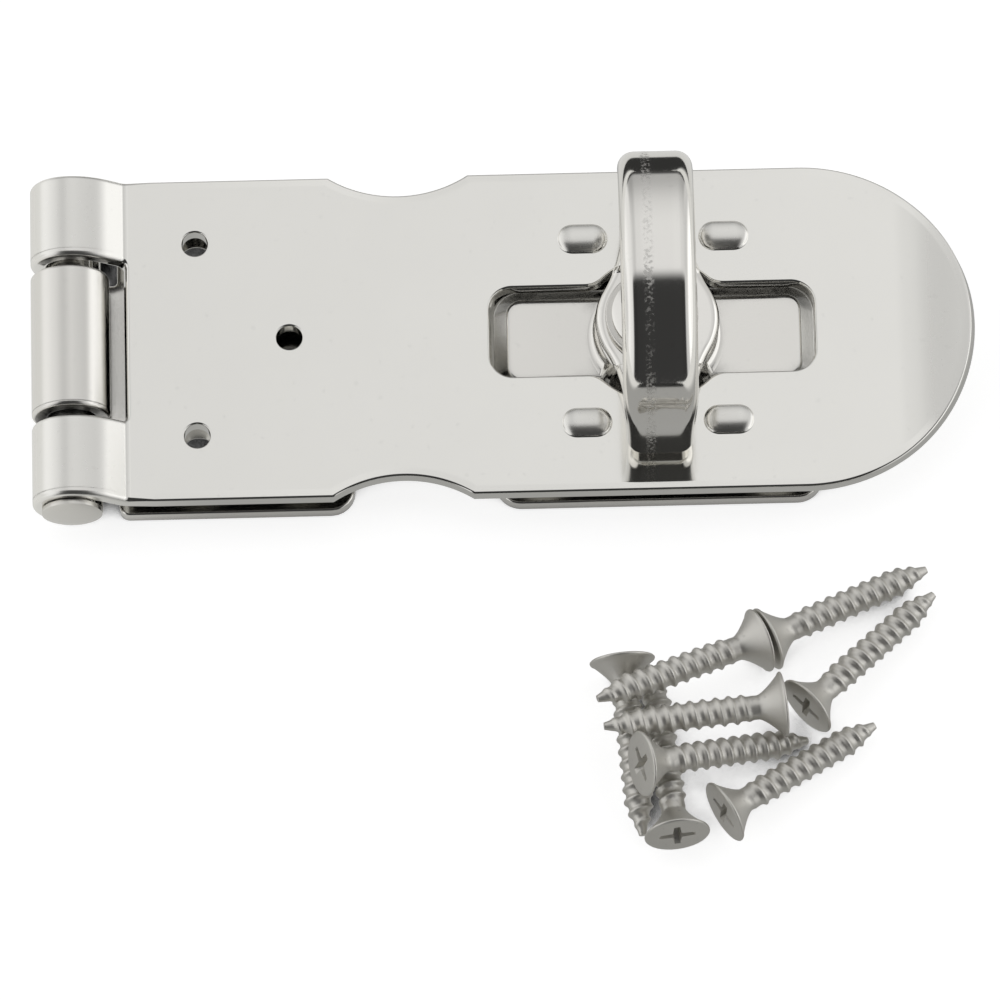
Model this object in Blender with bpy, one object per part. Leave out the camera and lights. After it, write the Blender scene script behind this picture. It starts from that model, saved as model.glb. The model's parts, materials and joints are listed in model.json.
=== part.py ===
"""Hasp and staple with a turning loop, shown closed and locked, with its eight loose screws.

Frame: +X runs from the hinge to the strap's free end, +Z is away from the mounting surface, and the
origin lies on the rear leaf's back face, on the centre line. Everything is in metres.
"""
import math

import bmesh
import bpy
from mathutils import Matrix, Vector

MM = 0.001
GAP = 0.3 * MM                      # clearance between pieces that touch

# Sheet and hinge
SHEET = 2.0 * MM
HINGE_X = -20.0 * MM                # hinge axis, from the origin
BARREL_R = 4.6 * MM                 # outside radius of the rolled knuckles
PIN_R = BARREL_R - SHEET - 0.25 * MM
PIN_HEAD_R = 3.5 * MM
PIN_HEAD_H = 0.8 * MM
KNUCKLE_MIDDLE = 8.8 * MM           # half length of the rear leaf's knuckle
KNUCKLE_OUTER = 9.9 * MM            # where the strap's two knuckles start, from the centre line

# Strap
STRAP_TOP = 6.4 * MM                # above the mounting surface
STRAP_HALF = 20.0 * MM
STRAP_END = 105.0 * MM              # free end, from the hinge axis
THROAT = 6.4 * MM                   # edge of the cut-out for the rear leaf's knuckle
STRAP_CURL_START = -35.0            # where the rolled end of the strap stops, from +X
JOGGLE_ANGLE = 35.0
JOGGLE_R = 7.0 * MM                 # centre line radius of the joggle's upper bend
CREASE_R = 2.2 * MM                 # centre line radius of its lower bend
CURL_ANGLE = 16.0                   # the free end turns up a little
CURL_R = 33.0 * MM
NOTCH_FROM, NOTCH_TO = 30.3 * MM, 46.6 * MM
NOTCH_DEPTH = 2.45 * MM
SLOT_FROM, SLOT_TO = 48.8 * MM, 86.6 * MM
SLOT_HALF = 5.55 * MM
SLOT_CORNER = 2.7 * MM
EYE_R = 8.75 * MM                   # round hole in the middle of the slot
EYE_FILLET = 3.0 * MM
STRAP_HOLES = ((14.65 * MM, 12.0 * MM), (14.65 * MM, -12.0 * MM), (25.5 * MM, 0.0))
STRAP_HOLE_R = 1.5 * MM
BUMP_LENGTH, BUMP_WIDTH, BUMP_HEIGHT = 5.7 * MM, 3.5 * MM, 0.7 * MM
BUMP_DX, BUMP_DY = 8.25 * MM, 11.5 * MM

# Rear leaf
LEAF_FROM, LEAF_TO = 5.4 * MM, 32.8 * MM
LEAF_CURL_START = -20.0             # where the rolled end of the leaf stops, from +X
LEAF_CORNER, LEAF_ROOT_CORNER = 2.8 * MM, 1.0 * MM
LEAF_HOLES = ((14.65 * MM, 12.0 * MM), (14.65 * MM, -12.0 * MM), (26.5 * MM, 12.0 * MM), (26.5 * MM, -12.0 * MM))

# Staple base, its raised pad under the strap's slot, and its drawn boss
PIVOT_X = HINGE_X + 68.1 * MM       # axis of the turning loop
BASE_HALF_X, BASE_HALF_Y = 19.0 * MM, 19.7 * MM
BASE_CORNER = 3.0 * MM
BASE_HOLE_X, BASE_HOLE_Y = 13.5 * MM, 14.0 * MM
BOSS_FOOT_R, BOSS_TOP_R = 8.7 * MM, 7.0 * MM
BOSS_TOP = 7.0 * MM
BOSS_WALL = 1.9 * MM
PAD_FROM, PAD_TO = -18.0 * MM, 17.3 * MM        # from the pivot
PAD_HALF = 5.5 * MM
PAD_TOP = 3.8 * MM
PAD_CORNER = 2.2 * MM

# Countersunk screw holes
SCREW_HOLE_R = 2.1 * MM
SINK_R = 3.9 * MM

# Turning loop
LOOP_HALF = 16.6 * MM               # half of its length
LOOP_BAND = 8.5 * MM                # width of the band
LOOP_WALL = 4.0 * MM
LOOP_BOTTOM = BOSS_TOP + GAP
LOOP_TOP = 31.8 * MM
LOOP_ARCH_R = 14.0 * MM             # outside radius of the two upper corners
LOOP_HEEL_R = 4.5 * MM              # outside radius of the two lower corners
FOOT_R = 7.2 * MM
FOOT_FLARE = 12.3 * MM              # where the band starts to widen into the foot
FLOOR_Z = 9.9 * MM                  # flat across the foot, under the washer
FLOOR_HALF = 6.0 * MM

# Rivet stack
RIVET_R = 2.1 * MM
RIVET_HEAD_R, RIVET_HEAD_H = 4.65 * MM, 1.5 * MM
RIVET_TAIL_R, RIVET_TAIL_H = 3.4 * MM, 1.4 * MM
WASHER_R, WASHER_T = 5.4 * MM, 0.9 * MM
BACK_WASHER_R, BACK_WASHER_T = 4.9 * MM, 0.9 * MM
WAVE_R, WAVE_T, WAVE_RISE = 4.9 * MM, 0.4 * MM, 0.2 * MM

# Screws
SCREW_LENGTH = 21.5 * MM
SCREW_HEAD_R = 3.8 * MM
SCREW_HEAD_H = 3.1 * MM
SCREW_RIM = 0.35 * MM
THREAD_R, CORE_R = 1.75 * MM, 1.4 * MM
THREAD_PITCH = 1.5 * MM
RECESS_WIDTH, RECESS_LENGTH, RECESS_DEPTH = 1.0 * MM, 4.2 * MM, 1.6 * MM

# Each loose screw: centre of its head's face from the hinge axis, its heading from +X, and its rise
SCREWS = (
    ((79.85, -37.9, 3.85), 25.5, -6.2),
    ((79.3, -38.0, 4.05), -157.1, 9.6),
    ((81.7, -46.6, 5.8), -172.9, 3.0),
    ((84.2, -46.3, 3.85), 43.2, -6.2),
    ((65.0, -54.2, 7.8), 14.0, -18.8),
    ((74.35, -58.95, 3.85), 31.8, -6.1),
    ((69.0, -61.6, 3.85), 96.5, -6.2),
    ((63.2, -39.9, 3.85), -84.9, -6.2),
)


def clear_scene():
    for obj in list(bpy.data.objects):
        bpy.data.objects.remove(obj, do_unlink=True)


def steel(name, colour, roughness):
    """A stainless steel finish."""
    material = bpy.data.materials.new(name)
    material.use_nodes = True
    shader = material.node_tree.nodes["Principled BSDF"]
    shader.inputs["Base Color"].default_value = (*colour, 1.0)
    shader.inputs["Roughness"].default_value = roughness
    shader.inputs["Metallic"].default_value = 1.0
    material.diffuse_color = (*colour, 1.0)
    return material


def add_object(name, bm, material, at=(0.0, 0.0, 0.0)):
    """Turn a bmesh, built round its own origin, into a named object placed at a point."""
    bmesh.ops.recalc_face_normals(bm, faces=bm.faces)
    mesh = bpy.data.meshes.new(name)
    bm.to_mesh(mesh)
    bm.free()
    mesh.shade_smooth()
    mesh.set_sharp_from_angle(angle=math.radians(30.0))
    obj = bpy.data.objects.new(name, mesh)
    obj.location = at
    if material:
        mesh.materials.append(material)
    bpy.context.scene.collection.objects.link(obj)
    return obj


def combine(obj, operation, name, bm, at=None):
    """Join, cut or trim an object with a hidden tool shape."""
    tool = add_object(f"{obj.name}_{name}", bm, None, obj.location if at is None else at)
    tool.hide_render = True
    tool.display_type = "WIRE"
    modifier = obj.modifiers.new(name, "BOOLEAN")
    modifier.operation = operation
    modifier.solver = "EXACT"
    modifier.object = tool


def arc(centre, radius, start, end, steps):
    """Points on a circle from one angle to another, both in degrees and both included."""
    angles = [math.radians(start + (end - start) * i / steps) for i in range(steps + 1)]
    return [(centre[0] + radius * math.cos(a), centre[1] + radius * math.sin(a)) for a in angles]


def circle(centre, radius, steps):
    return arc(centre, radius, 0.0, 360.0, steps)[:-1]


def rounded_box(x0, y0, x1, y1, radii, steps):
    """A rectangle with its own radius at each corner, anticlockwise from the lower left one."""
    corners = ((x0, y0, 1, 1, 180.0), (x1, y0, -1, 1, 270.0), (x1, y1, -1, -1, 0.0), (x0, y1, 1, -1, 90.0))
    points = []
    for (x, y, sx, sy, start), radius in zip(corners, radii):
        points += arc((x + sx * radius, y + sy * radius), radius, start, start + 90.0, steps)
    return points


def obround(centre, length, width, steps):
    """An outline with two straight sides and two half round ends."""
    reach = (length - width) / 2.0
    right = arc((centre[0] + reach, centre[1]), width / 2.0, -90.0, 90.0, steps)
    left = arc((centre[0] - reach, centre[1]), width / 2.0, 90.0, 270.0, steps)
    return right + left


def prism(outline, z0, z1):
    """A closed solid that runs straight up from an outline."""
    bm = bmesh.new()
    face = bm.faces.new([bm.verts.new((x, y, z0)) for x, y in outline])
    walls = bmesh.ops.extrude_face_region(bm, geom=[face])
    top = [item for item in walls["geom"] if isinstance(item, bmesh.types.BMVert)]
    bmesh.ops.translate(bm, verts=top, vec=(0.0, 0.0, z1 - z0))
    return bm


def turned(profile, steps):
    """A solid of revolution about Z from (radius, height) points.

    An open profile starts and ends on the axis. A closed one, for a ring, never touches it.
    """
    bm = bmesh.new()
    rings = []
    for radius, height in profile:
        if radius == 0.0:
            rings.append([bm.verts.new((0.0, 0.0, height))])
        else:
            rings.append([bm.verts.new((x, y, height)) for x, y in circle((0.0, 0.0), radius, steps)])
    pairs = list(zip(rings, rings[1:]))
    if len(rings[0]) > 1:
        pairs.append((rings[-1], rings[0]))
    for low, high in pairs:
        for i in range(steps):
            j = (i + 1) % steps
            corners = [low[i % len(low)], low[j % len(low)], high[j % len(high)], high[i % len(high)]]
            bm.faces.new(list(dict.fromkeys(corners)))
    return bm


def sheet_blank(outline, holes, cuts):
    """A flat blank in the XY plane with holes, split across X at each bend so that it can be rolled."""
    bm = bmesh.new()
    edges = []
    for loop in [outline] + list(holes):
        verts = [bm.verts.new((x, y, 0.0)) for x, y in loop]
        edges += [bm.edges.new((a, b)) for a, b in zip(verts, verts[1:] + verts[:1])]
    bmesh.ops.triangle_fill(bm, use_beauty=True, edges=edges)
    for x in cuts:
        everything = list(bm.verts) + list(bm.edges) + list(bm.faces)
        bmesh.ops.bisect_plane(bm, geom=everything, dist=1e-7, plane_co=(x, 0.0, 0.0), plane_no=(1.0, 0.0, 0.0))
    bmesh.ops.recalc_face_normals(bm, faces=bm.faces)
    walls = bmesh.ops.extrude_face_region(bm, geom=list(bm.faces))
    top = [item for item in walls["geom"] if isinstance(item, bmesh.types.BMVert)]
    for vert in bm.verts:
        vert.co.z = -SHEET / 2.0
    for vert in top:
        vert.co.z = SHEET / 2.0
    return bm


class BendLine:
    """The centre line of a bent sheet, as straights and arcs, measured by the length along it."""

    def __init__(self, start_length, point, heading, moves):
        self.parts = []
        length, (x, z), heading = start_length, point, math.radians(heading)
        for size, bend in moves:
            bend = math.radians(bend)
            run = size * abs(bend) if bend else size
            self.parts.append((length, run, x, z, heading, bend))
            x, z, heading = self.step(run, run, x, z, heading, bend)
            length += run

    @staticmethod
    def step(distance, run, x, z, heading, bend):
        """Where a distance along one straight or arc leads: its point and its heading there."""
        if not bend:
            return x + distance * math.cos(heading), z + distance * math.sin(heading), heading
        radius = run / bend
        turned_to = heading + bend * distance / run
        x += radius * (math.sin(turned_to) - math.sin(heading))
        z -= radius * (math.cos(turned_to) - math.cos(heading))
        return x, z, turned_to

    def cuts(self, angle):
        """Inner lengths at which a blank is split so that no facet turns more than an angle."""
        lengths = set()
        for length, run, _, _, _, bend in self.parts:
            count = max(1, math.ceil(abs(math.degrees(bend)) / angle))
            lengths.update(round(length + run * i / count, 9) for i in range(count + 1))
        return sorted(lengths)[1:-1]

    def bend(self, bm):
        """Roll a flat blank so that its X runs along the line and its Z is the offset from it."""
        for vert in bm.verts:
            part = [p for p in self.parts if p[0] <= vert.co.x + 1e-9] or self.parts[:1]
            length, run, x, z, heading, bend = part[-1]
            x, z, heading = self.step(vert.co.x - length, run, x, z, heading, bend)
            offset = vert.co.z
            vert.co.x = x - offset * math.sin(heading)
            vert.co.z = z + offset * math.cos(heading)


def strap_line():
    """The strap's side view: under the barrel, round it, down the joggle, along, and a little up."""
    centre_r = BARREL_R - SHEET / 2.0
    curl_start, wrap = STRAP_CURL_START, 270.0 + STRAP_CURL_START
    angle = math.radians(JOGGLE_ANGLE)
    drop = BARREL_R + centre_r - (STRAP_TOP - SHEET / 2.0)
    slope = (drop - (JOGGLE_R + CREASE_R) * (1.0 - math.cos(angle))) / math.sin(angle)
    flat_from = (JOGGLE_R + CREASE_R) * math.sin(angle) + slope * math.cos(angle)
    curl_from = STRAP_END - CURL_R * math.sin(math.radians(CURL_ANGLE))
    before_flat = centre_r * math.radians(wrap) + (JOGGLE_R + CREASE_R) * angle + slope
    a = math.radians(curl_start)
    start = (centre_r * math.cos(a), BARREL_R + centre_r * math.sin(a))
    moves = (
        (centre_r, -wrap),
        (JOGGLE_R, -JOGGLE_ANGLE),
        (slope, 0.0),
        (CREASE_R, JOGGLE_ANGLE),
        (curl_from - flat_from, 0.0),
        (CURL_R, CURL_ANGLE * 1.1),
    )
    return BendLine(flat_from - before_flat, start, curl_start - 90.0, moves)


def strap_outline(line):
    """The strap's flat outline: two tabs that become knuckles, waisted sides and a half round end."""
    tab = line.parts[0][0]
    middle = (NOTCH_FROM + NOTCH_TO) / 2.0
    chord = (NOTCH_TO - NOTCH_FROM) / 2.0
    radius = (chord ** 2 + NOTCH_DEPTH ** 2) / (2.0 * NOTCH_DEPTH)
    spread = math.degrees(math.asin(chord / radius))
    notch_y = STRAP_HALF - NOTCH_DEPTH + radius
    lower_notch = arc((middle, -notch_y), radius, 90.0 + spread, 90.0 - spread, 12)
    upper_notch = arc((middle, notch_y), radius, 270.0 + spread, 270.0 - spread, 12)
    end = arc((STRAP_END - STRAP_HALF, 0.0), STRAP_HALF, -90.0, 90.0, 32)
    tabs = [
        (tab, STRAP_HALF), (tab, KNUCKLE_OUTER), (THROAT, KNUCKLE_OUTER),
        (THROAT, -KNUCKLE_OUTER), (tab, -KNUCKLE_OUTER), (tab, -STRAP_HALF),
    ]
    return tabs + lower_notch + end + upper_notch


def slot_outline():
    """A long slot with rounded corners and a round eye in its middle, with filleted shoulders."""
    pivot = PIVOT_X - HINGE_X
    shoulder_y = SLOT_HALF + EYE_FILLET
    shoulder_x = math.sqrt((EYE_R + EYE_FILLET) ** 2 - shoulder_y ** 2)
    turn = math.degrees(math.atan2(shoulder_y, shoulder_x))
    r = SLOT_CORNER
    quarter = arc((SLOT_TO - r, SLOT_HALF - r), r, 0.0, 90.0, 5)
    quarter += arc((pivot + shoulder_x, shoulder_y), EYE_FILLET, 270.0, 180.0 + turn, 5)
    quarter += arc((pivot, 0.0), EYE_R, turn, 180.0 - turn, 14)[1:-1]
    quarter += arc((pivot - shoulder_x, shoulder_y), EYE_FILLET, 360.0 - turn, 270.0, 5)
    quarter += arc((SLOT_FROM + r, SLOT_HALF - r), r, 90.0, 180.0, 5)
    return quarter + [(x, -y) for x, y in reversed(quarter)]


def soft_prism(outline, base, top, inset):
    """A prism with a softened upper edge."""
    bm = prism(outline, base, top)
    upper = [e for e in bm.edges if all(v.co.z > (base + top) / 2.0 for v in e.verts)]
    bmesh.ops.bevel(bm, geom=upper, offset=inset, segments=2, profile=0.5, affect="EDGES")
    return bm


def make_strap(material):
    line = strap_line()
    holes = [circle(point, STRAP_HOLE_R, 16) for point in STRAP_HOLES] + [slot_outline()]
    bm = sheet_blank(strap_outline(line), holes, line.cuts(18.0))
    line.bend(bm)
    strap = add_object("hasp_strap", bm, material, (HINGE_X, 0.0, 0.0))
    pivot = PIVOT_X - HINGE_X
    for i, (sx, sy) in enumerate(((-1, -1), (1, -1), (1, 1), (-1, 1))):
        centre = (pivot + sx * BUMP_DX, sy * BUMP_DY)
        outline = obround(centre, BUMP_LENGTH, BUMP_WIDTH, 8)
        bump = soft_prism(outline, STRAP_TOP - SHEET / 2.0, STRAP_TOP + BUMP_HEIGHT, 0.5 * MM)
        combine(strap, "UNION", f"bump_{i + 1}", bump)
    for i, (sx, sy) in enumerate(((-1, -1), (1, -1), (1, 1), (-1, 1))):
        centre = (pivot + sx * BUMP_DX, sy * BUMP_DY)
        low = STRAP_TOP - SHEET
        dent = prism(obround(centre, BUMP_LENGTH - SHEET, BUMP_WIDTH - SHEET, 6), low - SHEET, low + BUMP_HEIGHT)
        combine(strap, "DIFFERENCE", f"dent_{i + 1}", dent)
    return strap


def countersink(top):
    """The tool for one screw hole in a sheet whose top face is at a height."""
    cone_foot = top - (SINK_R - SCREW_HOLE_R)
    above = 0.5 * MM
    return turned(
        [(0.0, -SHEET), (SCREW_HOLE_R, -SHEET), (SCREW_HOLE_R, cone_foot), (SINK_R + above, top + above),
         (0.0, top + above)], 24)


def make_leaf(material):
    """The rear leaf: flat on the mounting surface, with one knuckle rolled up at its middle."""
    centre_r = BARREL_R - SHEET / 2.0
    wrap = 270.0 - LEAF_CURL_START
    a = math.radians(LEAF_CURL_START)
    start = (centre_r * math.cos(a), BARREL_R + centre_r * math.sin(a))
    moves = ((centre_r, wrap), (LEAF_TO, 0.0))
    line = BendLine(-centre_r * math.radians(wrap), start, LEAF_CURL_START + 90.0, moves)
    corners = (LEAF_ROOT_CORNER, LEAF_CORNER, LEAF_CORNER, LEAF_ROOT_CORNER)
    body = rounded_box(LEAF_FROM, -STRAP_HALF, LEAF_TO, STRAP_HALF, corners, 5)
    tab = line.parts[0][0]
    knuckle = [
        (LEAF_FROM, KNUCKLE_MIDDLE), (tab, KNUCKLE_MIDDLE), (tab, -KNUCKLE_MIDDLE), (LEAF_FROM, -KNUCKLE_MIDDLE)]
    bm = sheet_blank(body + knuckle, (), line.cuts(18.0))
    line.bend(bm)
    leaf = add_object("hinge_leaf", bm, material, (HINGE_X, 0.0, 0.0))
    for i, (x, y) in enumerate(LEAF_HOLES):
        combine(leaf, "DIFFERENCE", f"screw_hole_{i + 1}", countersink(SHEET), (HINGE_X + x, y, 0.0))
    return leaf


def make_pin(material):
    """The hinge pin, on the hinge axis, with its head at the near end."""
    half = STRAP_HALF - GAP
    profile = [(0.0, -half), (PIN_R, -half), (PIN_R, STRAP_HALF + GAP)]
    profile += [(PIN_HEAD_R, STRAP_HALF + GAP), (PIN_HEAD_R, STRAP_HALF + PIN_HEAD_H)]
    profile += [(PIN_HEAD_R - 0.2 * MM, STRAP_HALF + PIN_HEAD_H + 0.2 * MM)]
    profile += [(0.0, STRAP_HALF + PIN_HEAD_H + 0.3 * MM)]
    bm = turned(profile, 24)
    bmesh.ops.rotate(bm, verts=bm.verts, cent=(0.0, 0.0, 0.0), matrix=Matrix.Rotation(math.pi / 2.0, 3, "X"))
    return add_object("hinge_pin", bm, material, (HINGE_X, 0.0, BARREL_R))


def make_base(material):
    """The staple's base plate with a hollow boss drawn up through the strap's eye."""
    plate = rounded_box(-BASE_HALF_X, -BASE_HALF_Y, BASE_HALF_X, BASE_HALF_Y, (BASE_CORNER,) * 4, 5)
    base = add_object("staple_base", prism(plate, 0.0, SHEET), material, (PIVOT_X, 0.0, 0.0))
    pad = rounded_box(PAD_FROM, -PAD_HALF, PAD_TO, PAD_HALF, (PAD_CORNER,) * 4, 5)
    combine(base, "UNION", "pad", soft_prism(pad, SHEET / 2.0, PAD_TOP, 0.6 * MM))
    wall = SHEET - 0.1 * MM
    under = rounded_box(
        PAD_FROM + wall, -PAD_HALF + wall, PAD_TO - wall, PAD_HALF - wall, (PAD_CORNER - wall,) * 4, 3)
    combine(base, "DIFFERENCE", "pad_hollow", prism(under, -SHEET, PAD_TOP - wall))
    round_over = 0.8 * MM
    boss = [(0.0, SHEET / 2.0), (BOSS_FOOT_R, SHEET / 2.0), (BOSS_FOOT_R, SHEET)]
    boss += [(BOSS_TOP_R, BOSS_TOP - round_over), (BOSS_TOP_R - round_over, BOSS_TOP), (0.0, BOSS_TOP)]
    combine(base, "UNION", "boss", turned(boss, 40))
    inner_top = BOSS_TOP_R - BOSS_WALL
    hollow = [(0.0, -SHEET), (inner_top + 1.0 * MM, -SHEET), (inner_top + 1.0 * MM, 0.0)]
    hollow += [(inner_top, BOSS_TOP - BOSS_WALL), (0.0, BOSS_TOP - BOSS_WALL)]
    combine(base, "DIFFERENCE", "hollow", turned(hollow, 40))
    bore = [(0.0, 0.0), (RIVET_R + GAP, 0.0), (RIVET_R + GAP, BOSS_TOP + SHEET), (0.0, BOSS_TOP + SHEET)]
    combine(base, "DIFFERENCE", "rivet_hole", turned(bore, 24))
    for i, (sx, sy) in enumerate(((-1, -1), (1, -1), (1, 1), (-1, 1))):
        place = (PIVOT_X + sx * BASE_HOLE_X, sy * BASE_HOLE_Y, 0.0)
        combine(base, "DIFFERENCE", f"screw_hole_{i + 1}", countersink(SHEET), place)
    return base


def loop_ring():
    """The loop's band, seen along X as a tall rounded ring, with its edges softened."""
    wall = LOOP_WALL
    outer = rounded_box(
        -LOOP_HALF, LOOP_BOTTOM, LOOP_HALF, LOOP_TOP, (LOOP_HEEL_R, LOOP_HEEL_R, LOOP_ARCH_R, LOOP_ARCH_R), 9)
    inner = rounded_box(
        -LOOP_HALF + wall, LOOP_BOTTOM + wall, LOOP_HALF - wall, LOOP_TOP - wall,
        (LOOP_HEEL_R, LOOP_HEEL_R, LOOP_ARCH_R - wall, LOOP_ARCH_R - wall), 9)
    count = len(outer)
    soften = 1.1 * MM
    half = LOOP_BAND / 2.0
    section = [(1.0, -half), (0.3, -half + 0.3 * soften), (0.0, -half + soften)]
    section += [(share, -x) for share, x in reversed(section)]
    bm = bmesh.new()
    rings = []
    for share, x in section:
        rings.append([blend_vert(bm, outer[i], inner[i], share * soften, x) for i in range(count)])
    for share, x in reversed(section):
        rings.append([blend_vert(bm, inner[i], outer[i], share * soften, x) for i in range(count)])
    for ring, following in zip(rings, rings[1:] + rings[:1]):
        for i in range(count):
            j = (i + 1) % count
            bm.faces.new((ring[i], ring[j], following[j], following[i]))
    return bm


def blend_vert(bm, point, across, inset, x):
    """A vertex on the ring's wall, moved in from one face of the wall towards the other."""
    a, b = Vector(point), Vector(across)
    place = a + (b - a).normalized() * inset
    return bm.verts.new((x, place.x, place.y))


def foot_outline():
    """The foot in plan: a round disc that narrows in smooth hollow curves to the band."""
    half = LOOP_BAND / 2.0
    # A hollow arc that ends along the band's side and touches the disc.
    rise = FOOT_FLARE
    radius = (rise ** 2 + half ** 2 - FOOT_R ** 2) / (2.0 * (FOOT_R - half))
    touch = math.degrees(math.atan2(rise, half + radius))
    quarter = arc((0.0, 0.0), FOOT_R, 0.0, touch, 8)
    quarter += arc((half + radius, rise), radius, 180.0 + touch, 180.0, 8)[1:]
    right = [(x, -y) for x, y in reversed(quarter[1:])] + quarter
    return right + [(-x, -y) for x, y in right]


def make_loop(material):
    """The turning loop, built round its own pivot axis: a band ring on a flared round foot."""
    loop = add_object("turn_loop", loop_ring(), material, (PIVOT_X, 0.0, 0.0))
    foot = prism(foot_outline(), LOOP_BOTTOM + 0.02 * MM, LOOP_BOTTOM + LOOP_WALL - 0.05 * MM)
    rims = [e for e in foot.edges if abs(e.verts[0].co.z - e.verts[1].co.z) < 1e-9]
    bmesh.ops.bevel(foot, geom=rims, offset=1.0 * MM, segments=3, profile=0.5, affect="EDGES")
    combine(loop, "UNION", "foot", foot)
    reach = FOOT_R + 1.0 * MM
    ceiling = LOOP_BOTTOM + LOOP_WALL + 1.0 * MM
    floor_cut = [(-reach, -FLOOR_HALF), (reach, -FLOOR_HALF), (reach, FLOOR_HALF), (-reach, FLOOR_HALF)]
    combine(loop, "DIFFERENCE", "floor", prism(floor_cut, FLOOR_Z, ceiling))
    bore = prism(circle((0.0, 0.0), RIVET_R + GAP, 24), LOOP_BOTTOM - SHEET, ceiling)
    combine(loop, "DIFFERENCE", "rivet_hole", bore)
    return loop


def ring(inner, outer, bottom, top, steps):
    """A flat washer."""
    return turned([(inner, bottom), (outer, bottom), (outer, top), (inner, top)], steps)


def make_rivet(material):
    """The rivet: a tail set on the back washer, a plain shank, and a low domed head."""
    head_from = FLOOR_Z + GAP + WASHER_T + GAP
    tail_from = BOSS_TOP - BOSS_WALL - 2.0 * GAP - WAVE_T - 2.0 * WAVE_RISE - BACK_WASHER_T - GAP - RIVET_TAIL_H
    tail_to = tail_from + RIVET_TAIL_H
    sphere_r = (RIVET_HEAD_R ** 2 + RIVET_HEAD_H ** 2) / (2.0 * RIVET_HEAD_H)
    edge = math.degrees(math.asin(RIVET_HEAD_R / sphere_r))
    crown = arc((0.0, head_from + RIVET_HEAD_H - sphere_r), sphere_r, 90.0 - edge, 90.0, 6)
    profile = [(0.0, tail_from), (RIVET_TAIL_R - 0.4 * MM, tail_from), (RIVET_TAIL_R, tail_from + 0.4 * MM)]
    profile += [(RIVET_TAIL_R, tail_to), (RIVET_R, tail_to), (RIVET_R, head_from)]
    profile += [(RIVET_HEAD_R, head_from)] + crown[1:-1] + [(0.0, crown[-1][1])]
    return add_object("loop_rivet", turned(profile, 32), material, (PIVOT_X, 0.0, 0.0))


def make_washers(material):
    """The washer under the rivet's head, and the wave washer and back washer inside the boss."""
    inner = RIVET_R + GAP
    bottom = FLOOR_Z + GAP
    place = (PIVOT_X, 0.0, 0.0)
    add_object("rivet_washer", ring(inner, WASHER_R, bottom, bottom + WASHER_T, 40), material, place)
    wave_top = BOSS_TOP - BOSS_WALL - GAP
    wave_mid = wave_top - WAVE_RISE - WAVE_T / 2.0
    wave = ring(inner, WAVE_R, wave_mid - WAVE_T / 2.0, wave_mid + WAVE_T / 2.0, 36)
    for vert in wave.verts:
        vert.co.z += WAVE_RISE * math.sin(3.0 * math.atan2(vert.co.y, vert.co.x))
    add_object("wave_washer", wave, material, place)
    back_top = wave_top - WAVE_T - 2.0 * WAVE_RISE - GAP
    add_object("back_washer", ring(inner, BACK_WASHER_R, back_top - BACK_WASHER_T, back_top, 32), material, place)


def screw_shape():
    """A countersunk screw along +Z, from the face of its head at the origin to its point."""
    neck = SCREW_HEAD_H
    taper_from = SCREW_LENGTH - 5.0 * MM
    profile = [(0.0, 0.0), (SCREW_HEAD_R, 0.0), (SCREW_HEAD_R, SCREW_RIM), (CORE_R, neck)]
    turns = int((SCREW_LENGTH - 1.5 * MM - neck) / THREAD_PITCH)
    for turn in range(turns):
        crest_z = neck + (turn + 0.6) * THREAD_PITCH
        shrink = min(1.0, max(0.25, (SCREW_LENGTH - crest_z) / (SCREW_LENGTH - taper_from)))
        profile.append((THREAD_R * shrink, crest_z))
        profile.append((CORE_R * shrink, crest_z + 0.45 * THREAD_PITCH))
    profile.append((0.0, SCREW_LENGTH))
    return turned(profile, 12)


def recess_shape():
    """The cross recess in a screw's head: two crossed blades that narrow downwards."""
    points = []
    narrow, wide = RECESS_WIDTH / 2.0, RECESS_LENGTH / 2.0
    for quarter in range(4):
        a = quarter * math.pi / 2.0
        for x, y in ((narrow, -narrow), (wide, -narrow), (wide, narrow)):
            points.append((x * math.cos(a) - y * math.sin(a), x * math.sin(a) + y * math.cos(a)))
    bm = prism(points, -RECESS_DEPTH, RECESS_DEPTH)
    for vert in bm.verts:
        if vert.co.z > 0.0:
            reach = max(abs(vert.co.x), abs(vert.co.y))
            if reach > narrow * 1.01:
                vert.co *= Vector((0.62, 0.62, 1.0))
    return bm


def make_screws(material):
    for i, (place, heading, rise) in enumerate(SCREWS):
        screw = add_object(f"screw_{i + 1}", screw_shape(), material)
        cut = recess_shape()
        combine(screw, "DIFFERENCE", "recess", cut)
        aim = Matrix.Rotation(math.radians(heading), 4, "Z") @ Matrix.Rotation(math.radians(90.0 - rise), 4, "Y")
        x, y, z = (value * MM for value in place)
        pose = Matrix.Translation((HINGE_X + x, y, z)) @ aim
        screw.matrix_world = pose
        screw.modifiers["recess"].object.matrix_world = pose


def build():
    clear_scene()
    polished = steel("polished_steel", (0.72, 0.71, 0.68), 0.18)
    pressed = steel("pressed_steel", (0.66, 0.65, 0.62), 0.25)
    plain = steel("plain_steel", (0.52, 0.51, 0.49), 0.35)
    make_strap(polished)
    make_leaf(pressed)
    make_pin(plain)
    make_base(pressed)
    make_loop(polished)
    make_rivet(polished)
    make_washers(plain)
    make_screws(plain)


build()
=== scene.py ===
"""Looks of the hasp and staple: fine meshes and polished steel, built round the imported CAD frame."""
import json
import math

import bmesh
import bpy
from mathutils import Matrix, Vector


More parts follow.
